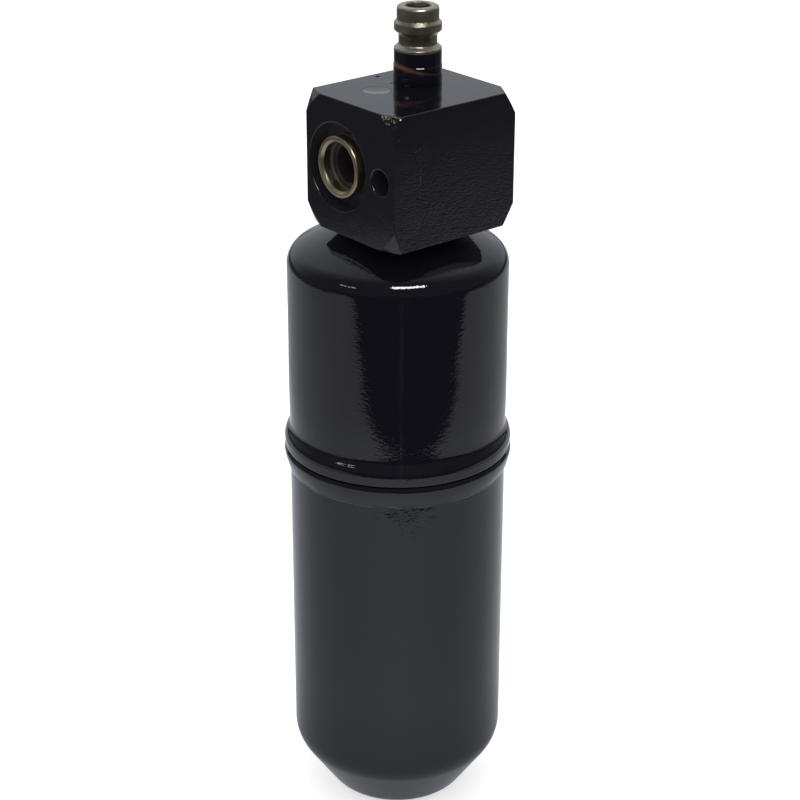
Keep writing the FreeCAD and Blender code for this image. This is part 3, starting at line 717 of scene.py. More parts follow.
cut(head_block, "tube_socket", outline_of(
    (0, -CUT_CLEAR),
    (TUBE_RADIUS + BRAZE_GAP, -CUT_CLEAR),
    (TUBE_RADIUS + BRAZE_GAP, TUBE_SEAT),
    (TUBE_BORE, TUBE_SEAT),
    (TUBE_BORE, SPIGOT_LENGTH + BLOCK_HALF),
    (0, SPIGOT_LENGTH + BLOCK_HALF),
), facing(0, 0, SPIGOT_BOTTOM, (0, 0, 1)))
head_block.data.shade_smooth()
head_block.data.set_sharp_from_angle(angle=SHARP_ANGLE)
flat_faces = head_block.modifiers.new("flat_faces", "WEIGHTED_NORMAL")
flat_faces.keep_sharp = True
flat_faces.weight = 100
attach(head_block, "drier")
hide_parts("head_block")

# The bar's rolled sides and underside keep a coarse skin under the paint. Its top and ends are machined.
# The faces are told apart by how far their normals reach along an axis.
BLOCK_PEEL = 0.015
BLOCK_ROUGHNESS = (0.05, 0.65)
PAINT_SPECULAR = 0.5
SKIN_SIZE = 0.70 * MM
SKIN_SLOPE = 0.36
SKIN_STRETCH = 2.0
SKIN_STARTS = 6.0 * MM
SKIN_GROWS = 38.0 * MM
SKIN_PATCH = 7.0 * MM
SKIN_LEAST = 0.4
SKIN_ROUGH = 0.25
ROLLED_FACES = 0.7
BEVEL_FACES = (0.6, 0.97)
DENT_SIZE = 1.7 * MM
DENT_SLOPE = 0.06
RECESS_FILL_LIGHT_COLOR = (0.020, 0.0175, 0.024, 1)
# Pits in the top's paint as x, y and radius, scratches in the side's as two x, z ends, and the place of a painted
# glint at the corner, a near-white dot that stands in for a lamp's highlight, all in millimetres.
PITS = ((1.9, 13.1, 0.9), (-10.2, -3.6, 0.75), (0.2, 3.7, 0.6))
PIT_EDGE = 0.15 * MM
SCRATCHES = (((-24.5, 259.8), (-23.6, 261.4)), ((-17.5, 255.2), (-13.6, 256.6)), ((-15.0, 253.5), (-15.2, 241.0)))
SCRATCH_WIDTH = 0.30 * MM
SCRATCH_BREAKS = 0.9 * MM
SCRATCH_SPARSE = 0.53
SCRATCHED_SIDE = -0.9
SCRATCH_GREY = (0.032, 0.032, 0.034, 1)
GLINT_PLACE = (-23.2, -28.9, 266.9)
GLINT_RADIUS = 0.32 * MM
GLINT_COLOR = (0.85, 0.87, 0.90, 1)


def from_port_axis(tree, y):
    """The distance from an axis that runs along X through the block's middle height, in metres."""
    return from_vector("DISTANCE", own_place(tree, (0, 1, 1)), (0, y, BLOCK_MIDDLE))


def spot(tree, place, radius):
    """A mask that is 1 within a radius of a place and fades out over PIT_EDGE."""
    return limited((radius - from_vector("DISTANCE", own_place(tree), place)) / PIT_EDGE)


block_enamel, tree, inputs = new_material("block_enamel")
peel = results_of(tree, orange_peel, Slope=BLOCK_PEEL)
normal = Value(tree.nodes.new("ShaderNodeTexCoord").outputs["Normal"])
endways, sideways, upright = (from_vector("DOT_PRODUCT", normal, axis) for axis in (X_AXIS, Y_AXIS, UP))
rolled = calculate("MAXIMUM", abs(sideways), upright * -1) > ROLLED_FACES
skin = noise_at(tree, SKIN_SIZE, detail=4.0, scale=(1 / SKIN_STRETCH, 1, 1)) * (SKIN_SIZE * SKIN_SLOPE)
downwards = calculate("MAXIMUM", (BLOCK_TOP - SKIN_STARTS - place_along(tree, UP)) / SKIN_GROWS, 0.0)
patches = (noise_at(tree, SKIN_PATCH) + SKIN_LEAST) * downwards * rolled
on_bevel = (abs(endways) > BEVEL_FACES[0]) * (abs(endways) < BEVEL_FACES[1])
dents = noise_at(tree, DENT_SIZE) * on_bevel * (DENT_SIZE * DENT_SLOPE)
add_bump(inputs, peel["Height"] + skin * patches + dents)
pitted = 0.0
for x, y, radius in PITS:
    pitted = calculate("MAXIMUM", pitted, spot(tree, (x * MM, y * MM, BLOCK_TOP), radius * MM))
scratched = 0.0
for ends in SCRATCHES:
    start, end = (Vector((x, 0, z)) * MM for x, z in ends)
    along = (end - start).normalized()
    across = Vector((-along.z, 0, along.x))
    off_side = abs(place_along(tree, across) - start.dot(across))
    off_end = abs(place_along(tree, along) - (start + end).dot(along) / 2)
    line = (1 - off_side / SCRATCH_WIDTH) * (off_end < (end - start).length / 2)
    scratched = calculate("MAXIMUM", scratched, line)
scratched = scratched * (noise_at(tree, SCRATCH_BREAKS) > SCRATCH_SPARSE) * (sideways < SCRATCHED_SIDE)
spoiled = calculate("MAXIMUM", calculate("MAXIMUM", pitted, scratched), rolled * SKIN_ROUGH)
feed(inputs["Roughness"], between(spoiled, *BLOCK_ROUGHNESS))
feed(inputs["Specular IOR Level"], between(pitted, PAINT_SPECULAR, 0.0))
# Painted light: inside the port's counterbore and the stud's bore the paint is given a lighter colour, standing in
# for light that reaches the deep paint.
in_port = from_port_axis(tree, 0) < COUNTERBORE + BRAZE_GAP
in_stud = from_port_axis(tree, STUD_OFFSET) < STUD_MOUTH
from_face = BLOCK_LENGTH / 2 - abs(place_along(tree, X_AXIS))
recess_fill_light = calculate("MAXIMUM", in_port, in_stud) * (from_face > MOUTH_ROUND)
paint = mix_colors(scratched, mix_colors(recess_fill_light, PAINT_COLOR, RECESS_FILL_LIGHT_COLOR), SCRATCH_GREY)
# Painted highlight: a near-white dot at the block's corner stands in for a lamp's glint.
glinted = spot(tree, Vector(GLINT_PLACE) * MM, GLINT_RADIUS)
feed(inputs["Base Color"], mix_colors(glinted, paint, GLINT_COLOR))
head_block.data.materials.clear()
head_block.data.materials.append(block_enamel)


# Neck weld.
# A fillet bead joins the pierced dome to the block's spigot. It lies in the dark gap under the block.
dome_at_spigot = crown_centre + math.sqrt(CROWN_RADIUS ** 2 - SPIGOT_RADIUS ** 2)
NECK_LEG = 1.5 * MM
NECK_TUCK = 0.3 * MM
NECK_THROAT = 0.9 * MM
NECK_HOLLOW = 1.0 * MM
neck_weld = turned("neck_bead", rounded([
    (SPIGOT_RADIUS, dome_at_spigot),
    (SPIGOT_RADIUS + NECK_LEG, dome_at_spigot - NECK_TUCK),
    (SPIGOT_RADIUS + NECK_THROAT, dome_at_spigot + NECK_THROAT, NECK_HOLLOW),
    (SPIGOT_RADIUS, dome_at_spigot + NECK_LEG),
]), segments=128)
neck_weld.data.materials.append(can_enamel)
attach(neck_weld, "drier")
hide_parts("neck_weld")


# Pilot sleeves.
# A short steel tube is brazed in each counterbored port, its end flush with the face. It is bare, with an olive
# passivate, its bore dark deep inside, and its lip is bright from turning.
SLEEVE_BORE = 8.2 * MM
SLEEVE_CHAMFER = 0.8 * MM
SLEEVE_STEP = 5.0 * MM
sleeve_outline = rounded([
    (SLEEVE_BORE + SLEEVE_CHAMFER, 0, 0.2 * MM),
    (SLEEVE_RADIUS, 0, 0.5 * MM),
    (SLEEVE_RADIUS, COUNTERBORE_DEPTH + SLEEVE_SEAT),
    (PASSAGE, COUNTERBORE_DEPTH + SLEEVE_SEAT),
    (PASSAGE, SLEEVE_STEP, 0.2 * MM),
    (SLEEVE_BORE, SLEEVE_STEP),
    (SLEEVE_BORE, SLEEVE_CHAMFER, 0.4 * MM),
], steps=5)

# Turned metal: rings of slightly different height and tone along the lathe's axis, and a cloudy film.
RING_PITCH = 0.12 * MM
RING_DEPTH = 0.003 * MM
FILM_SIZE = 5.0 * MM
turned_metal, (along, pitch, ring_height, film_size), results = new_group(
    "Turned metal",
    {"Along": 0.0, "Pitch": RING_PITCH, "Ring height": RING_DEPTH, "Film size": FILM_SIZE},
    ("Height", "Tone", "Film"),
)
ring_noise = turned_metal.nodes.new("ShaderNodeTexNoise")
ring_noise.noise_dimensions = "1D"
feed(ring_noise.inputs["Scale"], 1.0)
feed(ring_noise.inputs["Detail"], 3.0)
feed(ring_noise.inputs["W"], along / pitch)
tone = Value(ring_noise.outputs[0])
feed(results["Height"], tone * ring_height)
feed(results["Tone"], tone)
feed(results["Film"], noise_at(turned_metal, film_size, detail=4.0))


def turned_surface(tree, light, dark, roughness, axis, pitch=RING_PITCH, ring_height=RING_DEPTH):
    """The colour, roughness and height of turned metal whose rings run along an axis."""
    rings = results_of(tree, turned_metal, Along=place_along(tree, axis), Pitch=pitch, Ring_height=ring_height)
    return mix_colors(rings["Film"], light, dark), between(rings["Tone"], *roughness), rings["Height"]


# The sleeve's bore turns a dark, unmetallic brown between two depths.
SLEEVE_TONES = ((0.50, 0.44, 0.31, 1), (0.32, 0.27, 0.17, 1))
SLEEVE_ROUGHNESS = (0.24, 0.40)
SLEEVE_RINGS = 0.006 * MM
DEEP_BORE_COLOR = (0.024, 0.016, 0.019, 1)
DEEP_BORE_DEPTHS = (3.4 * MM, 5.0 * MM)
sleeve_steel, tree, inputs = new_material("sleeve_steel", SLEEVE_TONES[0], SLEEVE_ROUGHNESS[0])
steel, rough, height = turned_surface(tree, *SLEEVE_TONES, SLEEVE_ROUGHNESS, X_AXIS, ring_height=SLEEVE_RINGS)
depth = BLOCK_LENGTH / 2 - abs(place_along(tree, X_AXIS))
deep_in_bore = limited((depth - DEEP_BORE_DEPTHS[0]) / (DEEP_BORE_DEPTHS[1] - DEEP_BORE_DEPTHS[0]))
feed(inputs["Base Color"], mix_colors(deep_in_bore, steel, DEEP_BORE_COLOR))
feed(inputs["Metallic"], 1 - deep_in_bore)
feed(inputs["Roughness"], rough)
add_bump(inputs, height)
for node, side in (("inlet_sleeve", -1), ("outlet_sleeve", 1)):
    sleeve = turned(node.replace("sleeve", "pilot"), sleeve_outline, segments=160,
                    place=facing(side * BLOCK_LENGTH / 2, 0, BLOCK_MIDDLE, (-side, 0, 0)))
    sleeve.data.materials.append(sleeve_steel)
    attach(sleeve, "drier")
    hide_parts(node)


# Sealing plug.
# A small dished steel disc, pressed into the top of the inlet's drilling and painted over. Its paint is given a
# light grey, a painted sheen for the brighter reflection in its dish.
PLUG_DISH = 0.55 * MM
PLUG_RIM = 0.35 * MM
PLUG_TUCK = 0.04 * MM
PLUG_ROUND = 0.16 * MM
plug_edge = PLUG_RADIUS - PLUG_RIM
dish_radius = (plug_edge ** 2 + PLUG_DISH ** 2) / (2 * PLUG_DISH)
dish_turn = math.asin(plug_edge / dish_radius)
plug_outline = [Vector((0, -PLUG_SEAT)), Vector((PLUG_RADIUS - PLUG_TUCK, -PLUG_SEAT))]
plug_outline += arc((PLUG_RADIUS - PLUG_TUCK - PLUG_ROUND, -PLUG_ROUND), PLUG_ROUND, 0, math.pi / 2, steps=4)
plug_outline += arc((0, dish_radius - PLUG_DISH), dish_radius, -math.pi / 2 + dish_turn, -math.pi / 2)
sealing_plug = turned("core_plug", plug_outline, segments=96,
                      place=Matrix.Translation((PLUG_PLACE, 0, BLOCK_TOP)))
# Painted sheen: the plug's grey stands in for its dish's brighter reflection.
PLUG_SHEEN_GREY = (0.10, 0.106, 0.11, 1)
PLUG_PEEL = 0.04
PLUG_ROUGHNESS = 0.12
plug_enamel, tree, inputs = new_material("plug_enamel", PLUG_SHEEN_GREY, PLUG_ROUGHNESS)
add_bump(inputs, results_of(tree, orange_peel, Slope=PLUG_PEEL)["Height"])
sealing_plug.data.materials.append(plug_enamel)
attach(sealing_plug, "drier")
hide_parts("sealing_plug")


# Service port.
# The stub is brazed in the block, and the coupler port on the stub. The joint is a copper line that the
# paint covers thinly. The port's ridge and mouth were masked, and are bare olive-grey steel.
STUB_RADIUS = 8.14 * MM
STUB_HEIGHT = 4.0 * MM
RING_RADIUS = 8.15 * MM
RING_HEIGHT = 0.9 * MM
PORT_SOCKET = 5.05 * MM
PORT_BOTTOM = 0.4 * MM
SOCKET_BOTTOM = 0.2 * MM
PORT_SEAT = STUB_HEIGHT + RING_HEIGHT
PORT_RADIUS = 8.0 * MM
LEDGE_RADIUS = 8.15 * MM
LEDGE_HEIGHT = 6.2 * MM
LEDGE_RISE = 0.22 * MM
PORT_NECK = 6.45 * MM
PORT_TIP = 7.05 * MM
PORT_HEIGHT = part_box("service_port")[1].z - BLOCK_TOP
MOUTH_RADIUS = 4.2 * MM
MOUTH_DEPTH = 6.0 * MM
CORE_BORE = 2.65 * MM
CORE_BOTTOM = 10.0 * MM
CHAMBER = 2.3 * MM
CHAMBER_DEPTH = 4.0 * MM
PORT_SEGMENTS = 160
at_port = Matrix.Translation((PORT_PLACE, 0, BLOCK_TOP))

port_stub = turned("port_base", rounded([
    (PORT_DRILL, -STUB_DEPTH),
    (STUB_SPIGOT, -STUB_DEPTH),
    (STUB_SPIGOT, 0),
    (STUB_RADIUS, 0, 0.12 * MM),
    (STUB_RADIUS, STUB_HEIGHT, 0.02 * MM),
    (PORT_SOCKET, STUB_HEIGHT),
    (PORT_SOCKET, SOCKET_BOTTOM),
    (PORT_DRILL, SOCKET_BOTTOM),
], steps=3), segments=PORT_SEGMENTS, place=at_port)
braze_ring = turned("braze_line", rounded([
    (PORT_SOCKET, STUB_HEIGHT),
    (RING_RADIUS, STUB_HEIGHT, 0.03 * MM),
    (RING_RADIUS, PORT_SEAT, 0.03 * MM),
    (PORT_SOCKET, PORT_SEAT),
], steps=4), segments=PORT_SEGMENTS, place=at_port)
service_port = turned("coupler_port", rounded([
    (PORT_DRILL, PORT_BOTTOM),
    (PORT_SOCKET - BRAZE_GAP, PORT_BOTTOM),
    (PORT_SOCKET - BRAZE_GAP, PORT_SEAT),
    (LEDGE_RADIUS, PORT_SEAT),
    (LEDGE_RADIUS, LEDGE_HEIGHT, 0.12 * MM),
    (PORT_RADIUS, LEDGE_HEIGHT + LEDGE_RISE, 0.12 * MM),
    (PORT_RADIUS, 11.8 * MM, 0.25 * MM),
    (PORT_NECK, 13.0 * MM, 0.5 * MM),
    (PORT_NECK, 16.4 * MM, 0.5 * MM),
    (PORT_RADIUS, 17.7 * MM, 0.25 * MM),
    (PORT_RADIUS, 20.1 * MM, 0.3 * MM),
    (PORT_TIP, 21.1 * MM, 0.4 * MM),
    (PORT_TIP, PORT_HEIGHT, 1.0 * MM),
    (MOUTH_RADIUS + 0.35 * MM, PORT_HEIGHT, 0.12 * MM),
    (MOUTH_RADIUS, PORT_HEIGHT - 0.35 * MM, 0.12 * MM),
    (MOUTH_RADIUS, PORT_HEIGHT - MOUTH_DEPTH),
    (CORE_BORE, PORT_HEIGHT - MOUTH_DEPTH),
    (CORE_BORE, CORE_BOTTOM),
    (CHAMBER, CORE_BOTTOM),
    (CHAMBER, CORE_BOTTOM - CHAMBER_DEPTH),
    (PORT_DRILL, CORE_BOTTOM - CHAMBER_DEPTH),
], steps=5), segments=PORT_SEGMENTS, place=at_port)

# The paint stops at a masked line under the port's shoulder. The groove above it is darkened to a brown, a painted
# dark reflection in the groove. Where the braze lies the paint is thin and brown, in a line that drops towards
# VIEW_RIGHT, the picture's right.
PAINT_LINE = BLOCK_TOP + 11.1 * MM
LINE_WANDER = 0.5 * MM
LINE_WAVE = 2.5 * MM
LINE_EDGE = 0.12 * MM
PORT_TONES = ((0.55, 0.51, 0.39, 1), (0.30, 0.275, 0.205, 1))
PORT_ROUGHNESS = (0.20, 0.38)
PORT_PEEL = 0.012
PORT_RINGS = 0.009 * MM
NECK_PLACE = BLOCK_TOP + 15.6 * MM
NECK_REACH = 2.6 * MM
NECK_REFLECTION_STRENGTH = 1.15
NECK_REFLECTION_BROWN = (0.19, 0.165, 0.13, 1)
NECK_REFLECTION_SIZE = 1.6 * MM
NECK_REFLECTION_LEAST = 0.35
BRAZE_PLACE = BLOCK_TOP + 5.1 * MM
BRAZE_SLOPE = -0.21
BRAZE_WIDTH = 0.85 * MM
BRAZE_NARROWS = -0.085
BRAZE_NARROWEST = 0.4 * MM
BRAZE_STRONG = 0.672
BRAZE_FADES = -0.088 / MM
BRAZE_FAINTEST = 0.32
BRAZE_SMEAR = 0.9 * MM
SMEAR_WAVE = 1.8 * MM
VIEW_RIGHT = Vector((0.7668, -0.6419, 0))
COPPER = (0.110, 0.047, 0.028, 1)
port_finish, tree, inputs = new_material("port_finish", PORT_TONES[0], PORT_ROUGHNESS[0])
steel, rough, rings = turned_surface(tree, *PORT_TONES, PORT_ROUGHNESS, UP, ring_height=PORT_RINGS)
up = place_along(tree, UP)
# Painted dark reflection: the neck's groove is darkened to brown in a noisy band.
neck_painted_reflection = limited(NECK_REFLECTION_STRENGTH - abs(up - NECK_PLACE) / NECK_REACH) * (noise_at(tree, NECK_REFLECTION_SIZE) + NECK_REFLECTION_LEAST)
steel = mix_colors(neck_painted_reflection, steel, NECK_REFLECTION_BROWN)
over_line = up - PAINT_LINE + (noise_at(tree, LINE_WAVE) - 0.5) * LINE_WANDER
bare = limited(over_line / LINE_EDGE + 0.5)
low_side = place_along(tree, VIEW_RIGHT) - PORT_PLACE * VIEW_RIGHT.x
over_braze = up - BRAZE_PLACE - low_side * BRAZE_SLOPE + (noise_at(tree, SMEAR_WAVE) - 0.5) * BRAZE_SMEAR
width = calculate("MAXIMUM", low_side * BRAZE_NARROWS + BRAZE_WIDTH, BRAZE_NARROWEST)
strong = calculate("MAXIMUM", low_side * BRAZE_FADES + BRAZE_STRONG, BRAZE_FAINTEST)
thin = limited(1 - abs(over_braze) / width) * strong
feed(inputs["Base Color"], mix_colors(bare, mix_colors(thin, PAINT_COLOR, COPPER), steel))
feed(inputs["Metallic"], bare)
feed(inputs["Roughness"], between(bare, PAINT_ROUGHNESS, rough))
add_bump(inputs, between(bare, results_of(tree, orange_peel, Slope=PORT_PEEL)["Height"], rings))
for piece, node, finish in (
    (port_stub, "port_stub", "black_paint"),
    (braze_ring, "braze_ring", "braze_copper"),
    (service_port, "service_port", "port_steel"),
):
    piece.data.materials.append(port_finish)
    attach(piece, "drier")
    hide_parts(node)


# Valve core.
# A brass barrel is screwed into the port, with a white gasket. The steel pin stands in its middle, headed
# at the top for the coupler's probe, and carries a rubber seal underneath.
def metal_material(name, light, dark, roughness, axis=UP, pitch=RING_PITCH):
    """Bare turned metal of two tones."""
    material, tree, inputs = new_material(name, light, roughness[0], metallic=1.0)
    color, rough, height = turned_surface(tree, light, dark, roughness, axis, pitch)
    feed(inputs["Base Color"], color)
    feed(inputs["Roughness"], rough)
    add_bump(inputs, height)
    return material


def plain_material(name, light, dark, roughness, grain, slope):
    """A matt material of two mixed tones with its own grain."""
    material, tree, inputs = new_material(name, light, roughness)
    mask = noise_at(tree, grain, detail=5.0)
    feed(inputs["Base Color"], mix_colors(mask, light, dark))
    add_bump(inputs, mask * (grain * slope))
    return material


def dress(node, material):
    """The material for a piece that keeps its CAD form."""
    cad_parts[node].data.materials.clear()
    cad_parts[node].data.materials.append(material)


dress("core_barrel", metal_material("core_brass", (0.70, 0.52, 0.24, 1), (0.48, 0.33, 0.13, 1), (0.2, 0.4)))
dress("core_gasket", plain_material(
    "gasket_plastic", (0.80, 0.79, 0.75, 1), (0.66, 0.65, 0.60, 1), 0.5, 0.3 * MM, 0.05))
dress("valve_pin", metal_material("pin_steel", (0.55, 0.53, 0.50, 1), (0.38, 0.36, 0.33, 1), (0.2, 0.4)))
dress("valve_seal", plain_material(
    "seal_rubber", (0.022, 0.022, 0.022, 1), (0.035, 0.035, 0.035, 1), 0.6, 0.2 * MM, 0.1))


# Springs.
# The core's spring brings the pin back, and the pack's spring holds the desiccant pack down. Each is
# round wire wound with closed ends. One tree winds both.
def coil_tree():
    """Geometry nodes that wind round wire into a coil from named sizes."""
    tree = bpy.data.node_groups.new("Wound coil", "GeometryNodeTree")
    for label, kind in (
        ("Geometry", "Geometry"),
        ("Coil radius", "Float"),
        ("Wire radius", "Float"),
        ("Rise", "Float"),
        ("Turns", "Float"),
        ("Place", "Vector"),
        ("Material", "Material"),
    ):
        tree.interface.new_socket(label, in_out="INPUT", socket_type="NodeSocket" + kind)
    tree.interface.new_socket("Geometry", in_out="OUTPUT", socket_type="NodeSocketGeometry")
    inside, outside = tree.nodes.new("NodeGroupInput"), tree.nodes.new("NodeGroupOutput")
    spiral = tree.nodes.new("GeometryNodeCurveSpiral")
    spiral.inputs["Resolution"].default_value = 48
    wire = tree.nodes.new("GeometryNodeCurvePrimitiveCircle")
    wire.inputs["Resolution"].default_value = 12
    sweep = tree.nodes.new("GeometryNodeCurveToMesh")
    sweep.inputs["Fill Caps"].default_value = True
    move = tree.nodes.new("GeometryNodeTransform")
    smooth = tree.nodes.new("GeometryNodeSetShadeSmooth")
    finish = tree.nodes.new("GeometryNodeSetMaterial")
    links = (
        (inside, "Turns", spiral, "Rotations"),
        (inside, "Coil radius", spiral, "Start Radius"),
        (inside, "Coil radius", spiral, "End Radius"),
        (inside, "Rise", spiral, "Height"),
        (inside, "Wire radius", wire, "Radius"),
        (spiral, "Curve", sweep, "Curve"),
        (wire, "Curve", sweep, "Profile Curve"),
        (sweep, "Mesh", move, "Geometry"),
        (inside, "Place", move, "Translation"),
        (move, "Geometry", smooth, "Geometry"),
        (smooth, "Geometry", finish, "Geometry"),
        (inside, "Material", finish, "Material"),
        (finish, "Geometry", outside, "Geometry"),
    )
    for start, output, end, entry in links:
        tree.links.new(start.outputs[output], end.inputs[entry])
    return tree


def made_by_nodes(name, tree, settings):
    """A plain mesh from a node tree whose named inputs are set first."""
    piece = new_object(name, bpy.data.meshes.new(name))
    modifier = piece.modifiers.new(name, "NODES")
    modifier.node_group = tree
    for item in tree.interface.items_tree:
        if item.in_out == "INPUT" and item.name in settings:
            modifier[item.identifier] = settings[item.name]
    result = evaluated_mesh(piece)
    piece.modifiers.clear()
    piece.data = result
    return piece


spring_steel = metal_material("spring_steel", (0.46, 0.46, 0.47, 1), (0.30, 0.30, 0.31, 1), (0.25, 0.4))
wound_coil = coil_tree()
SPRINGS = {
    "core_spring": {"coil": 1.15 * MM, "wire": 0.19 * MM, "turns": 5.0},
    "pack_spring": {"coil": 26.0 * MM, "wire": 1.08 * MM, "turns": 6.0},
}
for node, spring in SPRINGS.items():
    low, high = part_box(node)
    middle = (PORT_PLACE, 0) if node == "core_spring" else (0, 0)
    piece = made_by_nodes(node + "_wire", wound_coil, {
        "Coil radius": spring["coil"],
        "Wire radius": spring["wire"],
        "Rise": high.z - low.z - 2 * spring["wire"],
        "Turns": spring["turns"],
        "Place": (middle[0], middle[1], low.z + spring["wire"]),
        "Material": spring_steel,
    })
    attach(piece, "drier")
    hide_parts(node)
    if node == "core_spring":
        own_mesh(piece)


# Pack inside the can.
# Pick-up tube, wire strainer, perforated cups, felt pads and the bed of desiccant. None of it shows, and
# each keeps its CAD form with its own finish.
plate_steel = metal_material(
    "plate_steel", (0.58, 0.58, 0.58, 1), (0.42, 0.42, 0.42, 1), (0.3, 0.5), axis=X_AXIS, pitch=0.3 * MM)
felt = plain_material("felt", (0.82, 0.80, 0.74, 1), (0.66, 0.63, 0.56, 1), 0.95, 0.8 * MM, 0.4)
dress("pickup_tube", metal_material(
    "tube_steel", (0.52, 0.51, 0.50, 1), (0.38, 0.37, 0.36, 1), (0.25, 0.4), pitch=0.8 * MM))
dress("strainer", metal_material(
    "mesh_steel", (0.55, 0.55, 0.54, 1), (0.30, 0.30, 0.29, 1), (0.3, 0.5), pitch=0.4 * MM))
dress("lower_plate", plate_steel)
dress("upper_plate", plate_steel)
dress("lower_pad", felt)
dress("upper_pad", felt)
dress("desiccant_bed", plain_material(
    "desiccant", (0.72, 0.64, 0.52, 1), (0.52, 0.44, 0.34, 1), 0.85, 2.0 * MM, 0.5))


# Studio.
# White paper lies under the drier and reaches behind it, with a dark room in front. Three lamps hang in
# front, a long white one and two small warm ones. What the black paint shows is mostly this.
FLOOR_REACH = 6.0
PAPER_FRONT = 0.295
FRONT_TURN = math.radians(13.2)
EDGE_SOFT = 0.002
PAPER_FACING = (0.72, 0.77, 0.83, 1)
PAPER_ASIDE = (0.55, 0.58, 0.62, 1)
PAPER_FAR = (0.47, 0.49, 0.52, 1)
FAR_REACH = (0.28, 0.44)
LEFT_EDGE = (0.55, 0.68)
RIGHT_EDGE = (0.56, 0.86)
FOOT_SHADE = 0.62
SHADE_REACH = (0.030, 0.11)
FRONT_DARK = (0.022, 0.022, 0.024, 1)
SIDE_GREY = (0.085, 0.085, 0.09, 1)
PAPER_DIFFUSE = (0.8, 0.8, 0.8, 1)
CAMERA_LIFT = 0.55


def flat_panel(name, middle, across, upward):
    """A flat panel from its middle and half its sides."""
    mesh = bpy.data.meshes.new(name)
    mesh.from_pydata([middle - across - upward, middle + across - upward,
                      middle + across + upward, middle - across + upward], [], [(0, 1, 2, 3)])
    return new_object(name, mesh)


floor = flat_panel("floor", Vector(), Vector(X_AXIS) * FLOOR_REACH, Vector(Y_AXIS) * FLOOR_REACH)


def soft_step(value, start, end):
    """A smooth mask from 0 at start to 1 at end."""
    spread = value.tree.nodes.new("ShaderNodeMapRange")
    spread.interpolation_type = "SMOOTHSTEP"
    feed(spread.inputs["From Min"], start)
    feed(spread.inputs["From Max"], end)
    feed(spread.inputs["Value"], value)
    return Value(spread.outputs["Result"])


def shader_node(tree, kind, *values):
    """A shader node with its first inputs fed in their order."""
    node = tree.nodes.new("ShaderNode" + kind)
    for socket, value in zip(node.inputs, values):
        feed(socket, value)
    return Value(node.outputs[0]) if node.outputs else None


def ray_kind(tree, kind):
    """1 for the rays of one kind, else 0."""
    return Value(tree.nodes.new("ShaderNodeLightPath").outputs[kind])


def glowing(name):
    """A material without nodes yet, whose glow isn't sampled as a lamp, and its tree."""
    material = bpy.data.materials.new(name)
    material.use_nodes = True
    material.cycles.emission_sampling = "NONE"
    material.node_tree.nodes.clear()
    return material, material.node_tree


# The paper is a plain diffuse floor for the camera and the shadow, and the gloss sees its tones as glow.
floor_material, tree = glowing("paper_floor")
front_heading = Matrix.Rotation(FRONT_TURN, 3, "Z") @ -VIEW_HEADING
in_front = soft_step(place_along(tree, front_heading), PAPER_FRONT - EDGE_SOFT, PAPER_FRONT + EDGE_SOFT)
aside = place_along(tree, VIEW_RIGHT)
from_middle = from_vector("LENGTH", own_place(tree))
ahead = place_along(tree, VIEW_HEADING) / from_middle
paper_color = mix_colors(ahead * ahead, PAPER_ASIDE, PAPER_FACING)
paper_color = mix_colors(soft_step(from_middle, *FAR_REACH), paper_color, PAPER_FAR)
beside = calculate("MAXIMUM", soft_step(aside * -1, *LEFT_EDGE), soft_step(aside, *RIGHT_EDGE))
paper_color = mix_colors(beside, paper_color, SIDE_GREY)
shade = between((from_middle - SHADE_REACH[0]) / (SHADE_REACH[1] - SHADE_REACH[0]), FOOT_SHADE, 1.0)
mirrored = shader_node(tree, "Emission", mix_colors(in_front, paper_color, FRONT_DARK), shade)
paper = shader_node(tree, "BsdfDiffuse", PAPER_DIFFUSE)
lift = shader_node(tree, "Emission", (1, 1, 1, 1), ray_kind(tree, "Is Camera Ray") * CAMERA_LIFT)
seen = shader_node(tree, "MixShader", ray_kind(tree, "Is Glossy Ray"), paper, mirrored)
shader_node(tree, "OutputMaterial", shader_node(tree, "AddShader", seen, lift))
floor.data.materials.append(floor_material)

# The room lights the drier white from all round, and the gloss sees it go from dim to bright behind.
ROOM_TILT = math.radians(30)
ROOM_LIGHT = ((0.20, 0.085), (0.35, 0.15), (0.50, 0.24), (0.65, 0.38), (0.76, 0.52), (0.90, 0.57), (1.0, 0.57))
ROOM_TINT = (0.97, 1.05, 1.14)
world = bpy.data.worlds.new("studio")
bpy.context.scene.world = world
world.use_nodes = True
tree = world.node_tree
tree.nodes.clear()
direction = Value(tree.nodes.new("ShaderNodeTexCoord").outputs["Generated"])
room_axis = VIEW_HEADING * math.cos(ROOM_TILT) + Vector(UP) * math.sin(ROOM_TILT)
ramp = tree.nodes.new("ShaderNodeValToRGB")
for stop, (reach, light) in enumerate(ROOM_LIGHT):
    element = ramp.color_ramp.elements[stop] if stop < 2 else ramp.color_ramp.elements.new(reach)
    element.position = reach
    element.color = tuple(light * tint for tint in ROOM_TINT) + (1,)
feed(ramp.inputs["Fac"], from_vector("DOT_PRODUCT", direction, room_axis))
room = mix_colors(ray_kind(tree, "Is Glossy Ray"), (1, 1, 1, 1), Value(ramp.outputs["Color"]))
shader_node(tree, "OutputWorld", shader_node(tree, "Background", room))

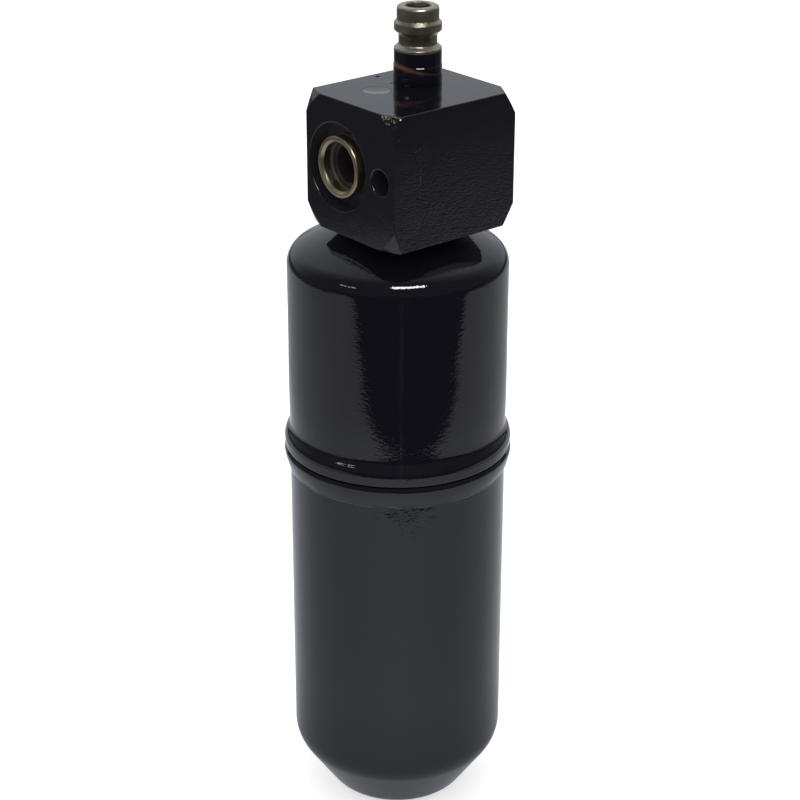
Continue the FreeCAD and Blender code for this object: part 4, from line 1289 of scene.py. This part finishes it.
# The lamps are panels that only the gloss shows. The room itself lights the drier.
WARM = (1, 0.92, 0.58, 1)
LAMPS = {
    "strip_lamp": {"aside": 14.5, "up": 51.5, "turn": 0.0, "wide": 1.50, "high": 0.57,
                   "color": (1, 1, 1, 1), "glow": 24.0},
    "warm_lamp": {"aside": -61.5, "up": 28.5, "turn": -4.0, "wide": 0.42, "high": 0.16,
                  "color": WARM, "glow": 6.0},
    "near_warm_lamp": {"aside": -50.0, "up": 29.0, "turn": -4.0, "wide": 0.36, "high": 0.13,
                       "color": WARM, "glow": 8.0},
}
LAMP_FAR = 3.0
dome = Vector((0, 0, SHOULDER))
for name, lamp in LAMPS.items():
    out = Matrix.Rotation(math.radians(lamp["aside"]), 3, "Z") @ -VIEW_HEADING
    rise = math.radians(lamp["up"])
    away = out * math.cos(rise) + Vector(UP) * math.sin(rise)
    turn = Matrix.Rotation(math.radians(lamp["turn"]), 3, away)
    across = turn @ Vector(UP).cross(away).normalized() * lamp["wide"] / 2
    upward = away.cross(across).normalized() * lamp["high"] / 2
    panel = flat_panel(name, dome + away * LAMP_FAR, across, upward)
    glow, tree = glowing(name)
    shown = shader_node(tree, "MixShader", ray_kind(tree, "Is Glossy Ray"), shader_node(tree, "BsdfTransparent"),
                        shader_node(tree, "Emission", lamp["color"], lamp["glow"]))
    shader_node(tree, "OutputMaterial", shown)
    panel.data.materials.append(glow)

# Camera, solved from the photo's straight edges and outlines.
CAMERA_PLACE = (-0.4288, -0.5135, 0.4540)
CAMERA_PITCH = math.radians(24.144)
CAMERA_ROLL = math.radians(0.123)
FOCAL_PIXELS = 2083.29
FRAME_PIXELS = 800
SENSOR = 36.0
camera = new_object("camera", bpy.data.cameras.new("camera"))
camera.data.sensor_width = SENSOR
camera.data.lens = FOCAL_PIXELS * SENSOR / FRAME_PIXELS
camera.data.clip_start = 0.01
camera.location = CAMERA_PLACE
looking = VIEW_HEADING * math.cos(CAMERA_PITCH) - Vector(UP) * math.sin(CAMERA_PITCH)
camera.rotation_euler = (looking.to_track_quat("-Z", "Y").to_matrix().to_4x4()
                         @ Matrix.Rotation(CAMERA_ROLL, 4, "Z")).to_euler()
bpy.context.scene.camera = camera
bpy.context.scene.view_settings.view_transform = "Standard"
